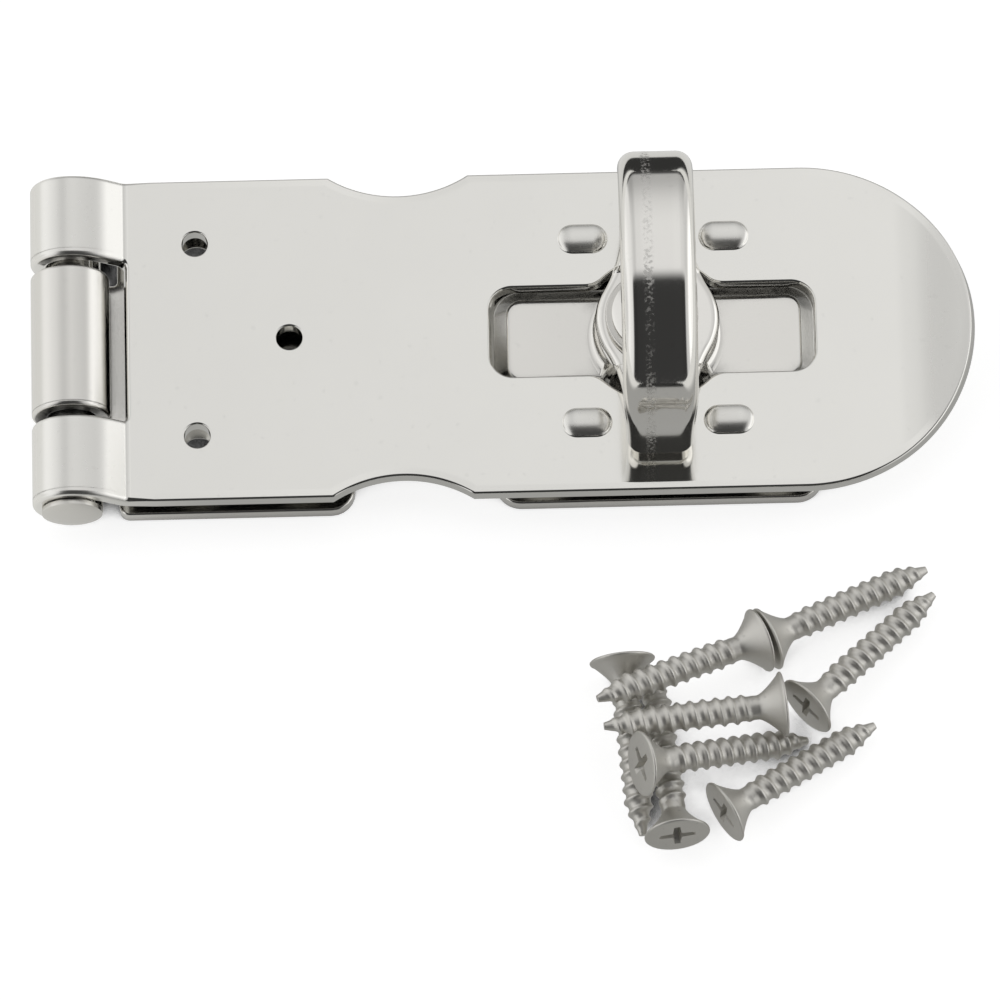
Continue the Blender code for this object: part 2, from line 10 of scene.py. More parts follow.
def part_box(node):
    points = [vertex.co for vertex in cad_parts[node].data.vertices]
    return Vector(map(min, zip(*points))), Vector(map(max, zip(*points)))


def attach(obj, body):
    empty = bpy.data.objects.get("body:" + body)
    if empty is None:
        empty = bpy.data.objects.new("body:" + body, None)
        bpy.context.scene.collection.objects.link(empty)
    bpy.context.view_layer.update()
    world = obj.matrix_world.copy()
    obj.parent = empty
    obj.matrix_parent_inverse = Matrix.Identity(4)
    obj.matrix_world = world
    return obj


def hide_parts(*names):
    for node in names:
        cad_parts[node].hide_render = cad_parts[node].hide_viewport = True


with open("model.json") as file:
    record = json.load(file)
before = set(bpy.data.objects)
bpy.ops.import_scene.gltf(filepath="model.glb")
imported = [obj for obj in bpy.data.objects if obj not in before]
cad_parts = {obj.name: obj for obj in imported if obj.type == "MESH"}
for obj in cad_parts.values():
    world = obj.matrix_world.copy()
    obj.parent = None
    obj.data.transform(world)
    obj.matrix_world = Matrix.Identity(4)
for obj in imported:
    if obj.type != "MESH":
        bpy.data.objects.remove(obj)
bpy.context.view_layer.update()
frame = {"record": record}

MM = 0.001

# Places, from the frame
JOINTS = {joint["name"]: joint for joint in frame["record"]["behaviour"]["joints"]}
HINGE_X, _, HINGE_Z = JOINTS["leaf_hinge"]["pos_m"]
PIVOT_X = JOINTS["loop_turn"]["pos_m"][0]
STRAP_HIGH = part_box("hasp_strap")[1]
LEAF_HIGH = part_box("hinge_leaf")[1]
BASE_LOW, BASE_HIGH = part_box("staple_base")
LOOP_LOW, LOOP_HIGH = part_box("turn_loop")

# Sheet metal
SHEET = 2.0 * MM
BARREL_R = HINGE_Z
STRAP_HALF = STRAP_HIGH[1]
STRAP_END = STRAP_HIGH[0] - HINGE_X
STRAP_TOP = 6.4 * MM
STRAP_ROLL, STRAP_DROP = 1.1 * MM, 0.08 * MM  # how far in and down the strap's stamped face rolls over
ROLL_SHOULDER = 0.2 * MM  # how soon the roll reaches its slope
STRAP_EDGE = 0.28 * MM  # rounding of the strap's stamped edge
KNUCKLE_EDGE = 0.6 * MM  # rounding of the knuckles' ends
KNUCKLE_SHOULDER = 0.25 * MM  # flat strip inside it
KNUCKLE_EASE = 6.6 * MM, 9.6 * MM  # where the knuckles' rounding gives way to the strap's
HOLE_EDGE = 0.2 * MM  # rounding of the strap's small holes
SLOT_EDGE = 0.32 * MM  # rounding of the slot's edges
PLATE_EDGE = 0.3 * MM  # rounding of the leaf's and the base's edges
SUPPORT = 0.12 * MM  # width of the flat strip that keeps rounding off the flats
JOGGLE_ANGLE, JOGGLE_R, CREASE_R = 35.0, 7.0 * MM, 2.2 * MM
CURL_ANGLE, CURL_R = 16.0, 33.0 * MM
STRAP_CURL_START, STRAP_WRAP = -35.0, 235.0  # where each curl starts on the barrel, and how far it goes
LEAF_CURL_START, LEAF_WRAP = -20.0, 290.0
FACET_ANGLE = 5.0  # the most that one facet of a bend turns
THROAT, TAB_CORNER = 6.4 * MM, 0.7 * MM
KNUCKLE_MIDDLE, KNUCKLE_OUTER = 8.8 * MM, 9.9 * MM
NOTCH_FROM, NOTCH_TO, NOTCH_DEPTH = 30.3 * MM, 46.6 * MM, 2.45 * MM
SLOT_FROM, SLOT_TO, SLOT_HALF, SLOT_CORNER = 48.8 * MM, 86.6 * MM, 5.55 * MM, 2.7 * MM
EYE_R, EYE_FILLET = 8.75 * MM, 3.0 * MM
STRAP_HOLE_R = 1.5 * MM
STRAP_HOLES = ((14.65 * MM, 12.0 * MM), (14.65 * MM, -12.0 * MM), (25.5 * MM, 0.0))
BUMP_LENGTH, BUMP_WIDTH, BUMP_HEIGHT = 5.7 * MM, 3.5 * MM, 0.68 * MM
BUMP_DX, BUMP_DY = 8.25 * MM, 11.5 * MM
DENT_INSET = 1.2 * MM  # how much smaller the dent under a bump is
LEAF_FROM = 5.4 * MM
LEAF_TAB_CORNER, LEAF_ROOT_CORNER, LEAF_CORNER = 0.5 * MM, 1.2 * MM, 2.8 * MM
LEAF_HOLES = (
    (14.65 * MM, 12.0 * MM), (14.65 * MM, -12.0 * MM), (26.5 * MM, 12.0 * MM), (26.5 * MM, -12.0 * MM))
BASE_HOLE_X, BASE_HOLE_Y = 13.5 * MM, 14.0 * MM
BASE_CORNER = 3.0 * MM
BOSS_FOOT_R, BOSS_TOP_R, BOSS_WALL = 8.8 * MM, 7.0 * MM, 1.9 * MM
SCREW_HOLE_R, SINK_R = 2.1 * MM, 3.9 * MM
PAD_FROM, PAD_TO, PAD_HALF, PAD_TOP, PAD_CORNER = -18.9 * MM, 18.6 * MM, 6.7 * MM, 3.8 * MM, 3.4 * MM
PAD_SINK, PAD_SLOPE, PAD_ROUNDING = 0.7 * MM, 1.7 * MM, 0.6 * MM
PAD_HOLLOW_CORNER = 0.5 * MM
BORE_R = 2.4 * MM  # the rivet's hole in the base, the loop and the washers

# Loop and rivet
LOOP_WALL, LOOP_BAND, LOOP_BAND_LOW, LOOP_CORNER = 4.0 * MM, 8.7 * MM, 7.8 * MM, 1.9 * MM
LOOP_ARCH_R, LOOP_CROWN_R, LOOP_HEEL_R = 14.0 * MM, 24.0 * MM, 2.3 * MM
HEEL_THICKENING = 1.2 * MM
FOOT_R, FOOT_FLARE, FLOOR_HALF, FLOOR_DROP = 7.2 * MM, 12.3 * MM, 6.0 * MM, 1.4 * MM
BAND_EASE, FLOOR_EASE = 14.0 * MM, 0.3 * MM  # lengths over which the band widens and the foot thickens
FLOOR_SOFTER = 0.9 * MM  # how much less the thin foot's inner corners are rounded
LOOP_PLAY, HEAD_SHIFT = 0.2 * MM, 0.45 * MM  # how far the loop and the rivet's head sit off the pivot
RIVET_RISE, RIVET_EDGE, RIVET_SHANK_R = 1.5 * MM, 0.25 * MM, 2.1 * MM
RIVET_TAIL_R, RIVET_TAIL_H = 3.4 * MM, 1.4 * MM
PIN_PLAY, PIN_EDGE = 0.25 * MM, 0.35 * MM
PIN_CROWN = (0.92, 0.8, 0.65, 0.5, 0.35, 0.18)  # shares of the head's radius at which its dome has a ring

# Screws
THREAD_R, CORE_R, THREAD_PITCH = 1.75 * MM, 1.4 * MM, 1.5 * MM
SCREW_HEAD_R, SCREW_HEAD_H, SCREW_RIM, SCREW_LENGTH = 3.8 * MM, 3.1 * MM, 0.35 * MM, 21.5 * MM
RECESS_WIDTH, RECESS_LENGTH, RECESS_DEPTH = 1.0 * MM, 4.2 * MM, 1.6 * MM
THREAD_STEPS, THREAD_ROWS = 36, 14  # facets round the shank, and rows of facets to each turn
POINT_CUT, POINT_TAPER = 0.5 * MM, 3.8 * MM
HEAD_FLARE, HEAD_FLARE_ROWS = 1.35, 14  # the power and the rows of the flare under the head
RECESS_LEVELS = ((-0.4 * MM, 1.08), (0.0, 1.0), (0.8 * MM, 0.72), (RECESS_DEPTH, 0.4))

# Each loose screw: centre of its head's face from the hinge axis in mm, its heading from +X, and its rise
SCREWS = (
    ((79.85, -37.9, 3.85), 25.5, -6.2),
    ((79.3, -38.0, 4.05), -157.1, 9.6),
    ((81.7, -46.6, 5.8), -172.9, 3.0),
    ((84.2, -46.3, 3.85), 43.2, -6.2),
    ((65.0, -54.2, 7.8), 14.0, -18.8),
    ((74.35, -58.95, 3.85), 31.8, -6.1),
    ((69.0, -61.6, 3.85), 96.5, -6.2),
    ((63.2, -39.9, 3.85), -84.9, -6.2),
)

# Finishes
CLOUD_SCALE, GRAIN_SCALE, SPECK_SCALE, SPECK_EDGE = 90.0, 2600.0, 1100.0, (0.68, 0.76)
GLOSS_SPREAD, BUMP_REACH, SATIN_EASE = 0.015, 0.05 * MM, 0.3 * MM
# Painted shade in crevices: between these openness edges the colour darkens to this level
CREVICE_SHADE_EDGE, CREVICE_SHADE_LEVEL = (0.35, 0.68), 0.02
MARK_OFFSET, MARK_STRIP, MARK_SCALE, MARK_EDGE = 1.15 * MM, (0.35 * MM, 0.75 * MM), 2400.0, (0.38, 0.72)
MARK_SHADE, MARK_DEPTH, MARK_DULL = 0.04, 0.1, 0.3  # how much the loop's marks darken, sink and dull it

# Studio: the light tent's brightness from left to right, and the edges of its front opening
SIDE_PANELS = ((0.0, 0.9), (0.04, 1.32), (0.155, 1.12), (0.365, 0.83), (0.475, 1.02), (0.525, 1.1),
               (0.66, 0.98), (0.855, 0.84), (0.935, 1.65), (1.0, 1.4))
OPENING_EDGE, FAR_FALL, FAR_EDGE = (2.0, 10.0), (34.0, 82.0), (84.0, 88.0)
FAR_LEVEL = 0.55
PALE_PATCH = (-0.24, 0.056)  # the floor beyond these distances in front and behind reflects dark
PATCH_EDGE = (0.03, 0.006)  # how softly it turns dark in front and behind
MIDDLE_EDGE = ((-0.035, 0.0), (0.085, 0.12))  # where its middle begins and ends, from left to right
REAR_EDGE = (0.015, 0.03)  # where its rear begins
PALE_SIDE, PALE_REAR, PALE_MIDDLE = 0.8, 0.7, 0.38  # its brightness in the steel, part by part
FLOOR_SIZE, FLOOR_HEIGHT = 3.0, -0.00005
CONTACT_SHADE_REACH, CONTACT_SHADE_EDGE = 8.0 * MM, (0.12, 0.42)  # how near a piece must be to darken the floor with painted contact shade
FLOOR_SOFT, FLOOR_GLOW = 0.5, 0.8
OPENING_HALF = (0.45, 0.62)
DARK_LEVEL = 0.05

# Camera
CAMERA_TARGET = (0.02956, -0.01841, 0.0)
CAMERA_DISTANCE = 1.3947
CAMERA_TILT, CAMERA_ROLL = 21.06, 1.34
CAMERA_LENS, CAMERA_SENSOR = 432.0, 36.0


# Outlines

def clamp(value):
    return min(1.0, max(0.0, value))


def ease(share, low=0.0, high=1.0):
    """A smooth step from low to high as the share goes from 0 to 1."""
    return low + (high - low) * share * share * (3.0 - 2.0 * share)


def direction(angle):
    """The cosine and sine of an angle in degrees."""
    return math.cos(math.radians(angle)), math.sin(math.radians(angle))


def on_circle(centre, radius, angle):
    cosine, sine = direction(angle)
    return centre[0] + radius * cosine, centre[1] + radius * sine


def arc(centre, radius, start, end, step=5.0):
    """Points on a circle from one angle to another, in degrees, both included."""
    count = max(2, math.ceil(abs(end - start) / step))
    return [on_circle(centre, radius, start + (end - start) * i / count) for i in range(count + 1)]


def four_ways(x, y):
    """A point and its mirror images across both axes."""
    return [(sx * x, sy * y) for sx in (-1, 1) for sy in (-1, 1)]


def circle(centre, radius, step=6.0):
    return arc(centre, radius, 0.0, 360.0, step)[:-1]


def obround(centre, length, width, step=10.0):
    """An outline with two straight sides and two half round ends."""
    reach = (length - width) / 2.0
    right = arc((centre[0] + reach, centre[1]), width / 2.0, -90.0, 90.0, step)
    left = arc((centre[0] - reach, centre[1]), width / 2.0, 90.0, 270.0, step)
    return right + left


def fillet(before, corner, after, radius, step):
    """Points round one corner of an outline, which lies between two others."""
    here = Vector(corner[:2])
    before = (Vector(before[:2]) - here).normalized()
    after = (Vector(after[:2]) - here).normalized()
    half = math.acos(max(-1.0, min(1.0, before.dot(after)))) / 2.0
    centre = here + (before + after).normalized() * (radius / math.sin(half))
    start = here + before * (radius / math.tan(half)) - centre
    end = here + after * (radius / math.tan(half)) - centre
    first = math.degrees(math.atan2(start.y, start.x))
    turn = (math.degrees(math.atan2(end.y, end.x)) - first + 180.0) % 360.0 - 180.0
    return arc(centre, radius, first, first + turn, step)


def round_corners(corners, step=15.0):
    """A closed outline through (x, y, radius) corners, each rounded to its radius."""
    points = []
    for i, corner in enumerate(corners):
        if corner[2]:
            points += fillet(corners[i - 1], corner, corners[(i + 1) % len(corners)], corner[2], step)
        else:
            points.append(corner[:2])
    return points


def round_profile(corners, step=15.0):
    """An open profile through (radius, height, rounding) corners."""
    rows = []
    for i, corner in enumerate(corners):
        if corner[2] and 0 < i < len(corners) - 1:
            rows += fillet(corners[i - 1], corner, corners[i + 1], corner[2], step)
        else:
            rows.append(corner[:2])
    return rows


def round_box(x0, y0, x1, y1, corner, step):
    """A rectangle with rounded corners."""
    return round_corners([(x0, y0, corner), (x1, y0, corner), (x1, y1, corner), (x0, y1, corner)], step)


def strap_outline(tab):
    """The strap's flat outline: two tabs that become knuckles, waisted sides and a half round end."""
    middle, chord = (NOTCH_FROM + NOTCH_TO) / 2.0, (NOTCH_TO - NOTCH_FROM) / 2.0
    radius = (chord ** 2 + NOTCH_DEPTH ** 2) / (2.0 * NOTCH_DEPTH)
    spread = math.degrees(math.asin(chord / radius))
    notch_y = STRAP_HALF - NOTCH_DEPTH + radius
    half, inner, small = STRAP_HALF, KNUCKLE_OUTER, TAB_CORNER
    tabs = round_corners([
        (tab, half, small), (tab, inner, small), (THROAT, inner, small), (THROAT, -inner, small),
        (tab, -inner, small), (tab, -half, small),
        (KNUCKLE_EASE[0], -half, 0.0), (KNUCKLE_EASE[1], -half, 0.0),
        (KNUCKLE_EASE[1], half, 0.0), (KNUCKLE_EASE[0], half, 0.0)])
    lower_notch = arc((middle, -notch_y), radius, 90.0 + spread, 90.0 - spread, 2.0)
    tabs, rest = tabs[:-2], tabs[-2:]
    upper_notch = arc((middle, notch_y), radius, 270.0 + spread, 270.0 - spread, 2.0)
    end = arc((STRAP_END - STRAP_HALF, 0.0), STRAP_HALF, -90.0, 90.0, 2.0)
    return tabs + lower_notch + end + upper_notch + rest


def slot_outline():
    """A long slot with rounded corners and a round eye in its middle, with filleted shoulders."""
    pivot = PIVOT_X - HINGE_X
    shoulder_y = SLOT_HALF + EYE_FILLET
    shoulder_x = math.sqrt((EYE_R + EYE_FILLET) ** 2 - shoulder_y ** 2)
    turn = math.degrees(math.atan2(shoulder_y, shoulder_x))
    r = SLOT_CORNER
    quarter = arc((SLOT_TO - r, SLOT_HALF - r), r, 0.0, 90.0)
    quarter += arc((pivot + shoulder_x, shoulder_y), EYE_FILLET, 270.0, 180.0 + turn)
    quarter += arc((pivot, 0.0), EYE_R, turn, 180.0 - turn)[1:-1]
    quarter += arc((pivot - shoulder_x, shoulder_y), EYE_FILLET, 360.0 - turn, 270.0)
    quarter += arc((SLOT_FROM + r, SLOT_HALF - r), r, 90.0, 180.0)
    return quarter + [(x, -y) for x, y in reversed(quarter)]


# Solids

def new_object(name, data):
    obj = bpy.data.objects.new(name, data)
    bpy.context.scene.collection.objects.link(obj)
    return obj


def skin(bm, rings, closed=False):
    """Faces between neighbouring rings of vertices, where a ring may be a single point."""
    count = max(len(ring) for ring in rings)
    pairs = list(zip(rings, rings[1:]))
    if closed:
        pairs.append((rings[-1], rings[0]))
    for low, high in pairs:
        for i in range(count):
            j = (i + 1) % count
            corners = (low[i % len(low)], low[j % len(low)], high[j % len(high)], high[i % len(high)])
            bm.faces.new(list(dict.fromkeys(corners)))


def apply_modifiers(obj):
    mesh = bpy.data.meshes.new_from_object(obj.evaluated_get(bpy.context.evaluated_depsgraph_get()))
    obj.modifiers.clear()
    obj.data = mesh
    mesh.name = obj.name


def combine(obj, operation, tool):
    """Join a tool to an object, or cut it away, for good, and delete the tool."""
    modifier = obj.modifiers.new("combine", "BOOLEAN")
    modifier.operation = operation
    modifier.solver = "EXACT"
    modifier.object = tool
    apply_modifiers(obj)
    obj.data.shade_smooth()
    obj.data.set_sharp_from_angle(angle=math.radians(50.0))
    bpy.data.objects.remove(tool, do_unlink=True)


# Sheet metal

class BendLine:
    """The centre line of a bent sheet, as straights and arcs, measured by the length along it."""

    def __init__(self, start_length, point, heading, moves):
        self.parts = []
        length, (x, z), heading = start_length, point, math.radians(heading)
        for size, bend in moves:
            bend = math.radians(bend)
            run = size * abs(bend) if bend else size
            self.parts.append((length, run, x, z, heading, bend))
            x, z, heading = self.step(run, run, x, z, heading, bend)
            length += run

    @staticmethod
    def step(distance, run, x, z, heading, bend):
        """Where a distance along one straight or arc leads: its point and its heading there."""
        if not bend:
            return x + distance * math.cos(heading), z + distance * math.sin(heading), heading
        radius = run / bend
        turned_to = heading + bend * distance / run
        x += radius * (math.sin(turned_to) - math.sin(heading))
        z -= radius * (math.cos(turned_to) - math.cos(heading))
        return x, z, turned_to

    def cuts(self, angle):
        """Inner lengths at which a blank is split so that no facet turns more than an angle."""
        lengths = set()
        for length, run, _, _, _, bend in self.parts:
            count = max(1, math.ceil(abs(math.degrees(bend)) / angle))
            lengths.update(round(length + run * i / count, 9) for i in range(count + 1))
        return sorted(lengths)[1:-1]

    def place(self, length, offset, normal):
        """The bent place and normal of a blank's point, from its length, its offset and its flat normal."""
        part = [p for p in self.parts if p[0] <= length + 1e-9] or self.parts[:1]
        start, run, x, z, heading, bend = part[-1]
        x, z, heading = self.step(length - start, run, x, z, heading, bend)
        sine, cosine = math.sin(heading), math.cos(heading)
        turned = (normal[0] * cosine - normal[2] * sine, normal[1], normal[0] * sine + normal[2] * cosine)
        return x - offset * sine, z + offset * cosine, turned


def strap_line():
    """The strap's side view: under the barrel, round it, down the joggle, along, and a little up."""
    centre_r = BARREL_R - SHEET / 2.0
    angle = math.radians(JOGGLE_ANGLE)
    drop = BARREL_R + centre_r - (STRAP_TOP - SHEET / 2.0)
    slope = (drop - (JOGGLE_R + CREASE_R) * (1.0 - math.cos(angle))) / math.sin(angle)
    flat_from = (JOGGLE_R + CREASE_R) * math.sin(angle) + slope * math.cos(angle)
    curl_from = STRAP_END - CURL_R * math.sin(math.radians(CURL_ANGLE))
    before_flat = centre_r * math.radians(STRAP_WRAP) + (JOGGLE_R + CREASE_R) * angle + slope
    start = on_circle((0.0, BARREL_R), centre_r, STRAP_CURL_START)
    moves = (
        (centre_r, -STRAP_WRAP), (JOGGLE_R, -JOGGLE_ANGLE), (slope, 0.0), (CREASE_R, JOGGLE_ANGLE),
        (curl_from - flat_from, 0.0), (CURL_R, CURL_ANGLE * 1.1))
    return BendLine(flat_from - before_flat, start, STRAP_CURL_START - 90.0, moves)


def leaf_line():
    """The rear leaf's side view: down round the barrel and along the mounting surface."""
    centre_r = BARREL_R - SHEET / 2.0
    start = on_circle((0.0, BARREL_R), centre_r, LEAF_CURL_START)
    moves = ((centre_r, LEAF_WRAP), (LEAF_HIGH[0] - HINGE_X, 0.0))
    return BendLine(-centre_r * math.radians(LEAF_WRAP), start, LEAF_CURL_START + 90.0, moves)


def edge_rows(roll, drop, face):
    """An elliptical edge from a flat face to the wall, as (inset, height, normal's tilt) steps."""
    rows = [(roll + SUPPORT, face, 90.0)]
    for turn in (90.0, 78.0, 66.0, 54.0, 42.0, 30.0, 18.0, 0.0):
        c, s = direction(turn)
        tilt = math.degrees(math.atan2(roll * s, drop * c))
        rows.append((roll * (1.0 - c), face - drop * (1.0 - s), tilt))
    return rows


def wall_profile(edge, roll=0.0, drop=0.0):
    """A sheet's edge from its top face to its bottom one, whose top may first roll over a little."""
    face = SHEET / 2.0
    upper = rows = edge_rows(edge, edge, face)
    if roll:
        tilt_to = 90.0 - math.degrees(math.atan2(drop, roll - edge))
        upper = [
            (roll + SUPPORT, face, 90.0), (roll, face, 90.0),
            (roll - ROLL_SHOULDER, face - 0.1 * drop, tilt_to)]
        upper += [(inset, height - drop, min(tilt, tilt_to)) for inset, height, tilt in rows[1:]]
    return upper + [(inset, -height, -tilt) for inset, height, tilt in reversed(rows)]


def sink_profile():
    """A countersunk screw hole's wall, from the top face to the bottom one."""
    top, bottom, edge, fine = SHEET / 2.0, -SHEET / 2.0, 0.12 * MM, 0.05 * MM
    reach = SINK_R - SCREW_HOLE_R
    foot = top - reach
    return [
        (reach + edge + SUPPORT, top, 90.0), (reach + edge, top, 90.0), (reach, top - 0.4 * edge, 67.0),
        (reach - edge, top - edge, 45.0), (fine, foot + fine, 45.0), (0.3 * fine, foot + 0.2 * fine, 22.0),
        (0.0, foot - fine, 0.0), (0.0, bottom + fine, 0.0), (0.3 * fine, bottom + 0.3 * fine, -45.0),
        (fine, bottom, -90.0), (fine + SUPPORT, bottom, -90.0)]


def bump_profile(height, reach, top):
    """An embossed bump's side, or the side of the dent under it, from the flat to its middle."""
    face, fillet = (SHEET if top else -SHEET) / 2.0, 0.12 * MM
    steps = [(-fillet - SUPPORT, 0.0, 90.0), (-fillet, 0.0, 90.0), (-0.4 * fillet, 0.3 * fillet, 60.0)]
    for angle in (14.0, 22.0, 30.0, 40.0, 50.0, 60.0, 70.0, 80.0, 90.0):
        c, s = direction(angle)
        tilt = math.degrees(math.atan2(reach * s, height * c))
        steps.append((reach * (1.0 - c) * 0.97, height * s, tilt))
    return [(inset, face + rise, tilt if top else tilt + 180.0) for inset, rise, tilt in steps]


class Blank:
    """A flat sheet drawn by outlines. Each vertex keeps its exact normal, so that flats stay flat."""

    def __init__(self):
        self.bm = bmesh.new()
        self.normal = self.bm.verts.layers.float_vector.new("exact")
        self.top_edges, self.bottom_edges = [], []

    def rings(self, loop, profile, hole, other=None, share=None):
        """One ring of vertices for each profile step, along an outline of the sheet or of a hole.

        Another profile of as many steps is mixed in by its share at each point.
        """
        points = [Vector(p) for p in loop]
        points = [p for i, p in enumerate(points) if (p - points[i - 1]).length > 1e-7]
        count, rings, outward = len(points), [], []
        for i, p in enumerate(points):
            before = (p - points[i - 1]).normalized()
            after = (points[(i + 1) % count] - p).normalized()
            normal = Vector((before.y + after.y, -before.x - after.x)).normalized()
            stretch = 1.0 / max(0.5, normal.dot(Vector((before.y, -before.x))))
            outward.append((normal * (-1.0 if hole else 1.0), stretch))
        for step, second in zip(profile, other or profile):
            ring = []
            for p, (normal, stretch) in zip(points, outward):
                mix = share(p.x) if share else 0.0
                inset, height, tilt = (a + (b - a) * mix for a, b in zip(step, second))
                c, s = direction(tilt)
                place = p - normal * inset * stretch
                vert = self.bm.verts.new((place.x, place.y, height))
                vert[self.normal] = (normal.x * c, normal.y * c, s)
                ring.append(vert)
            rings.append(ring)
        skin(self.bm, rings)
        return rings

    def loop_edges(self, ring):
        edges = self.bm.edges
        return [edges.get(pair) or edges.new(pair) for pair in zip(ring, ring[1:] + ring[:1])]

    def through(self, loop, profile, hole=True, other=None, share=None):
        """An outline or a hole that joins the top face to the bottom face."""
        rings = self.rings(loop, profile, hole, other, share)
        self.top_edges += self.loop_edges(rings[0])
        self.bottom_edges += self.loop_edges(rings[-1])

    def bump(self, loop, height, reach, top):
        """A closed bump on the top face, or with top False a dent in the bottom face."""
        rings = self.rings(loop, bump_profile(height, reach, top), False)
        (self.top_edges if top else self.bottom_edges).extend(self.loop_edges(rings[0]))
        self.bm.faces.new(rings[-1])

    def finish(self, name, cuts, line, offset=(0.0, 0.0, 0.0)):
        """Fill both faces, split the sheet at its bends, bend it, and make the object."""
        bm = self.bm
        for edges in (self.top_edges, self.bottom_edges):
            bmesh.ops.triangle_fill(bm, use_beauty=True, edges=edges)
        for x in cuts:
            bmesh.ops.bisect_plane(
                bm, geom=list(bm.verts) + list(bm.edges) + list(bm.faces), dist=1e-8,
                plane_co=(x, 0.0, 0.0), plane_no=(1.0, 0.0, 0.0))
        for face in bm.faces:
            face.normal_update()
            if face.normal.dot(sum((Vector(vert[self.normal]) for vert in face.verts), Vector())) < 0.0:
                face.normal_flip()
        normals = []
        for vert in bm.verts:
            normal = Vector(vert[self.normal]).normalized()
            if line:
                vert.co.x, vert.co.z, normal = line.place(vert.co.x, vert.co.z, normal)
            vert.co += Vector(offset)
            normals.append(tuple(normal))
        mesh = bpy.data.meshes.new(name)
        bm.to_mesh(mesh)
        bm.free()
        mesh.shade_smooth()
        mesh.normals_split_custom_set_from_vertices(normals)
        return new_object(name, mesh)


def bump_centres():
    pivot = PIVOT_X - HINGE_X
    return [(pivot + x, y) for x, y in four_ways(BUMP_DX, BUMP_DY)]


def near_knuckles(x):
    """The share of the knuckles' rounder edge along the strap: all on the tabs, none past the joggle."""
    return clamp((KNUCKLE_EASE[1] - x) / (KNUCKLE_EASE[1] - KNUCKLE_EASE[0]))


def near_leaf_knuckle(x):
    """The same share along the leaf, whose knuckle begins at the hinge."""
    return clamp(2.0 - x / MM)


def make_strap():
    line = strap_line()
    blank = Blank()
    blank.through(
        strap_outline(line.parts[0][0]), wall_profile(STRAP_EDGE, STRAP_ROLL, STRAP_DROP), False,
        wall_profile(KNUCKLE_EDGE, KNUCKLE_EDGE + KNUCKLE_SHOULDER), near_knuckles)
    blank.through(slot_outline(), wall_profile(SLOT_EDGE))
    for centre in STRAP_HOLES:
        blank.through(circle(centre, STRAP_HOLE_R), wall_profile(HOLE_EDGE))
    inner_length, inner_width = BUMP_LENGTH - DENT_INSET, BUMP_WIDTH - DENT_INSET
    for centre in bump_centres():
        blank.bump(obround(centre, BUMP_LENGTH, BUMP_WIDTH), BUMP_HEIGHT, BUMP_WIDTH / 2.0, True)
        blank.bump(obround(centre, inner_length, inner_width), BUMP_HEIGHT, inner_width / 2.0, False)
    return blank.finish("strap_steel", line.cuts(FACET_ANGLE), line, (HINGE_X, 0.0, 0.0))


def make_leaf():
    line = leaf_line()
    tab, reach = line.parts[0][0], LEAF_HIGH[0] - HINGE_X
    half, knuckle = STRAP_HALF, KNUCKLE_MIDDLE
    root, corner, small = LEAF_ROOT_CORNER, LEAF_CORNER, LEAF_TAB_CORNER
    outline = round_corners([
        (LEAF_FROM, -half, root), (reach, -half, corner), (reach, half, corner), (LEAF_FROM, half, root),
        (LEAF_FROM, knuckle, small), (tab, knuckle, small), (tab, -knuckle, small),
        (LEAF_FROM, -knuckle, small)])
    blank = Blank()
    blank.through(outline, wall_profile(PLATE_EDGE), False, wall_profile(KNUCKLE_EDGE), near_leaf_knuckle)
    for centre in LEAF_HOLES:
        blank.through(circle(centre, SCREW_HOLE_R), sink_profile())
    return blank.finish("leaf_steel", line.cuts(FACET_ANGLE), line, (HINGE_X, 0.0, 0.0))


def corner_rows(centre, radius, start, end, steps, hollow=False):
    """(radius, height, tilt) rows round a rounded or a hollow corner of a turned wall."""
    rows = []
    for i in range(steps + 1):
        angle = start + (end - start) * i / steps
        rows.append((*on_circle(centre, radius, angle), angle + 180.0 * hollow))
    return rows


def boss_profile(hole):
    """The base's boss: out of the plate's top, over its crown and down through the rivet's hole."""
    plate, bottom, crown = SHEET / 2.0, -SHEET / 2.0, BASE_HIGH[2] - SHEET / 2.0
    over, fillet, edge = 0.8 * MM, 0.7 * MM, 0.15 * MM
    lean = math.degrees(math.atan2(BOSS_FOOT_R - BOSS_TOP_R, crown - over - plate))
    cosine, sine = direction(lean)
    foot_centre = (BOSS_FOOT_R + fillet * (1.0 - sine) / cosine, plate + fillet)
    crown_centre = (BOSS_TOP_R - over / cosine, crown - over)
    rows = [(foot_centre[0] + SUPPORT, plate, 90.0)]
    rows += corner_rows(foot_centre, fillet, 270.0, 180.0 + lean, 6, hollow=True)
    rows += corner_rows(crown_centre, over, lean, 90.0, 7)
    rows += [(hole + edge + SUPPORT, crown, 90.0)]
    rows += corner_rows((hole + edge, crown - edge), edge, 90.0, 180.0, 3)
    rows += corner_rows((hole + edge, bottom + edge), edge, 180.0, 270.0, 3)
    rows += [(hole + edge + SUPPORT, bottom, 270.0)]
    return [(radius - hole, height, 180.0 - tilt) for radius, height, tilt in rows]


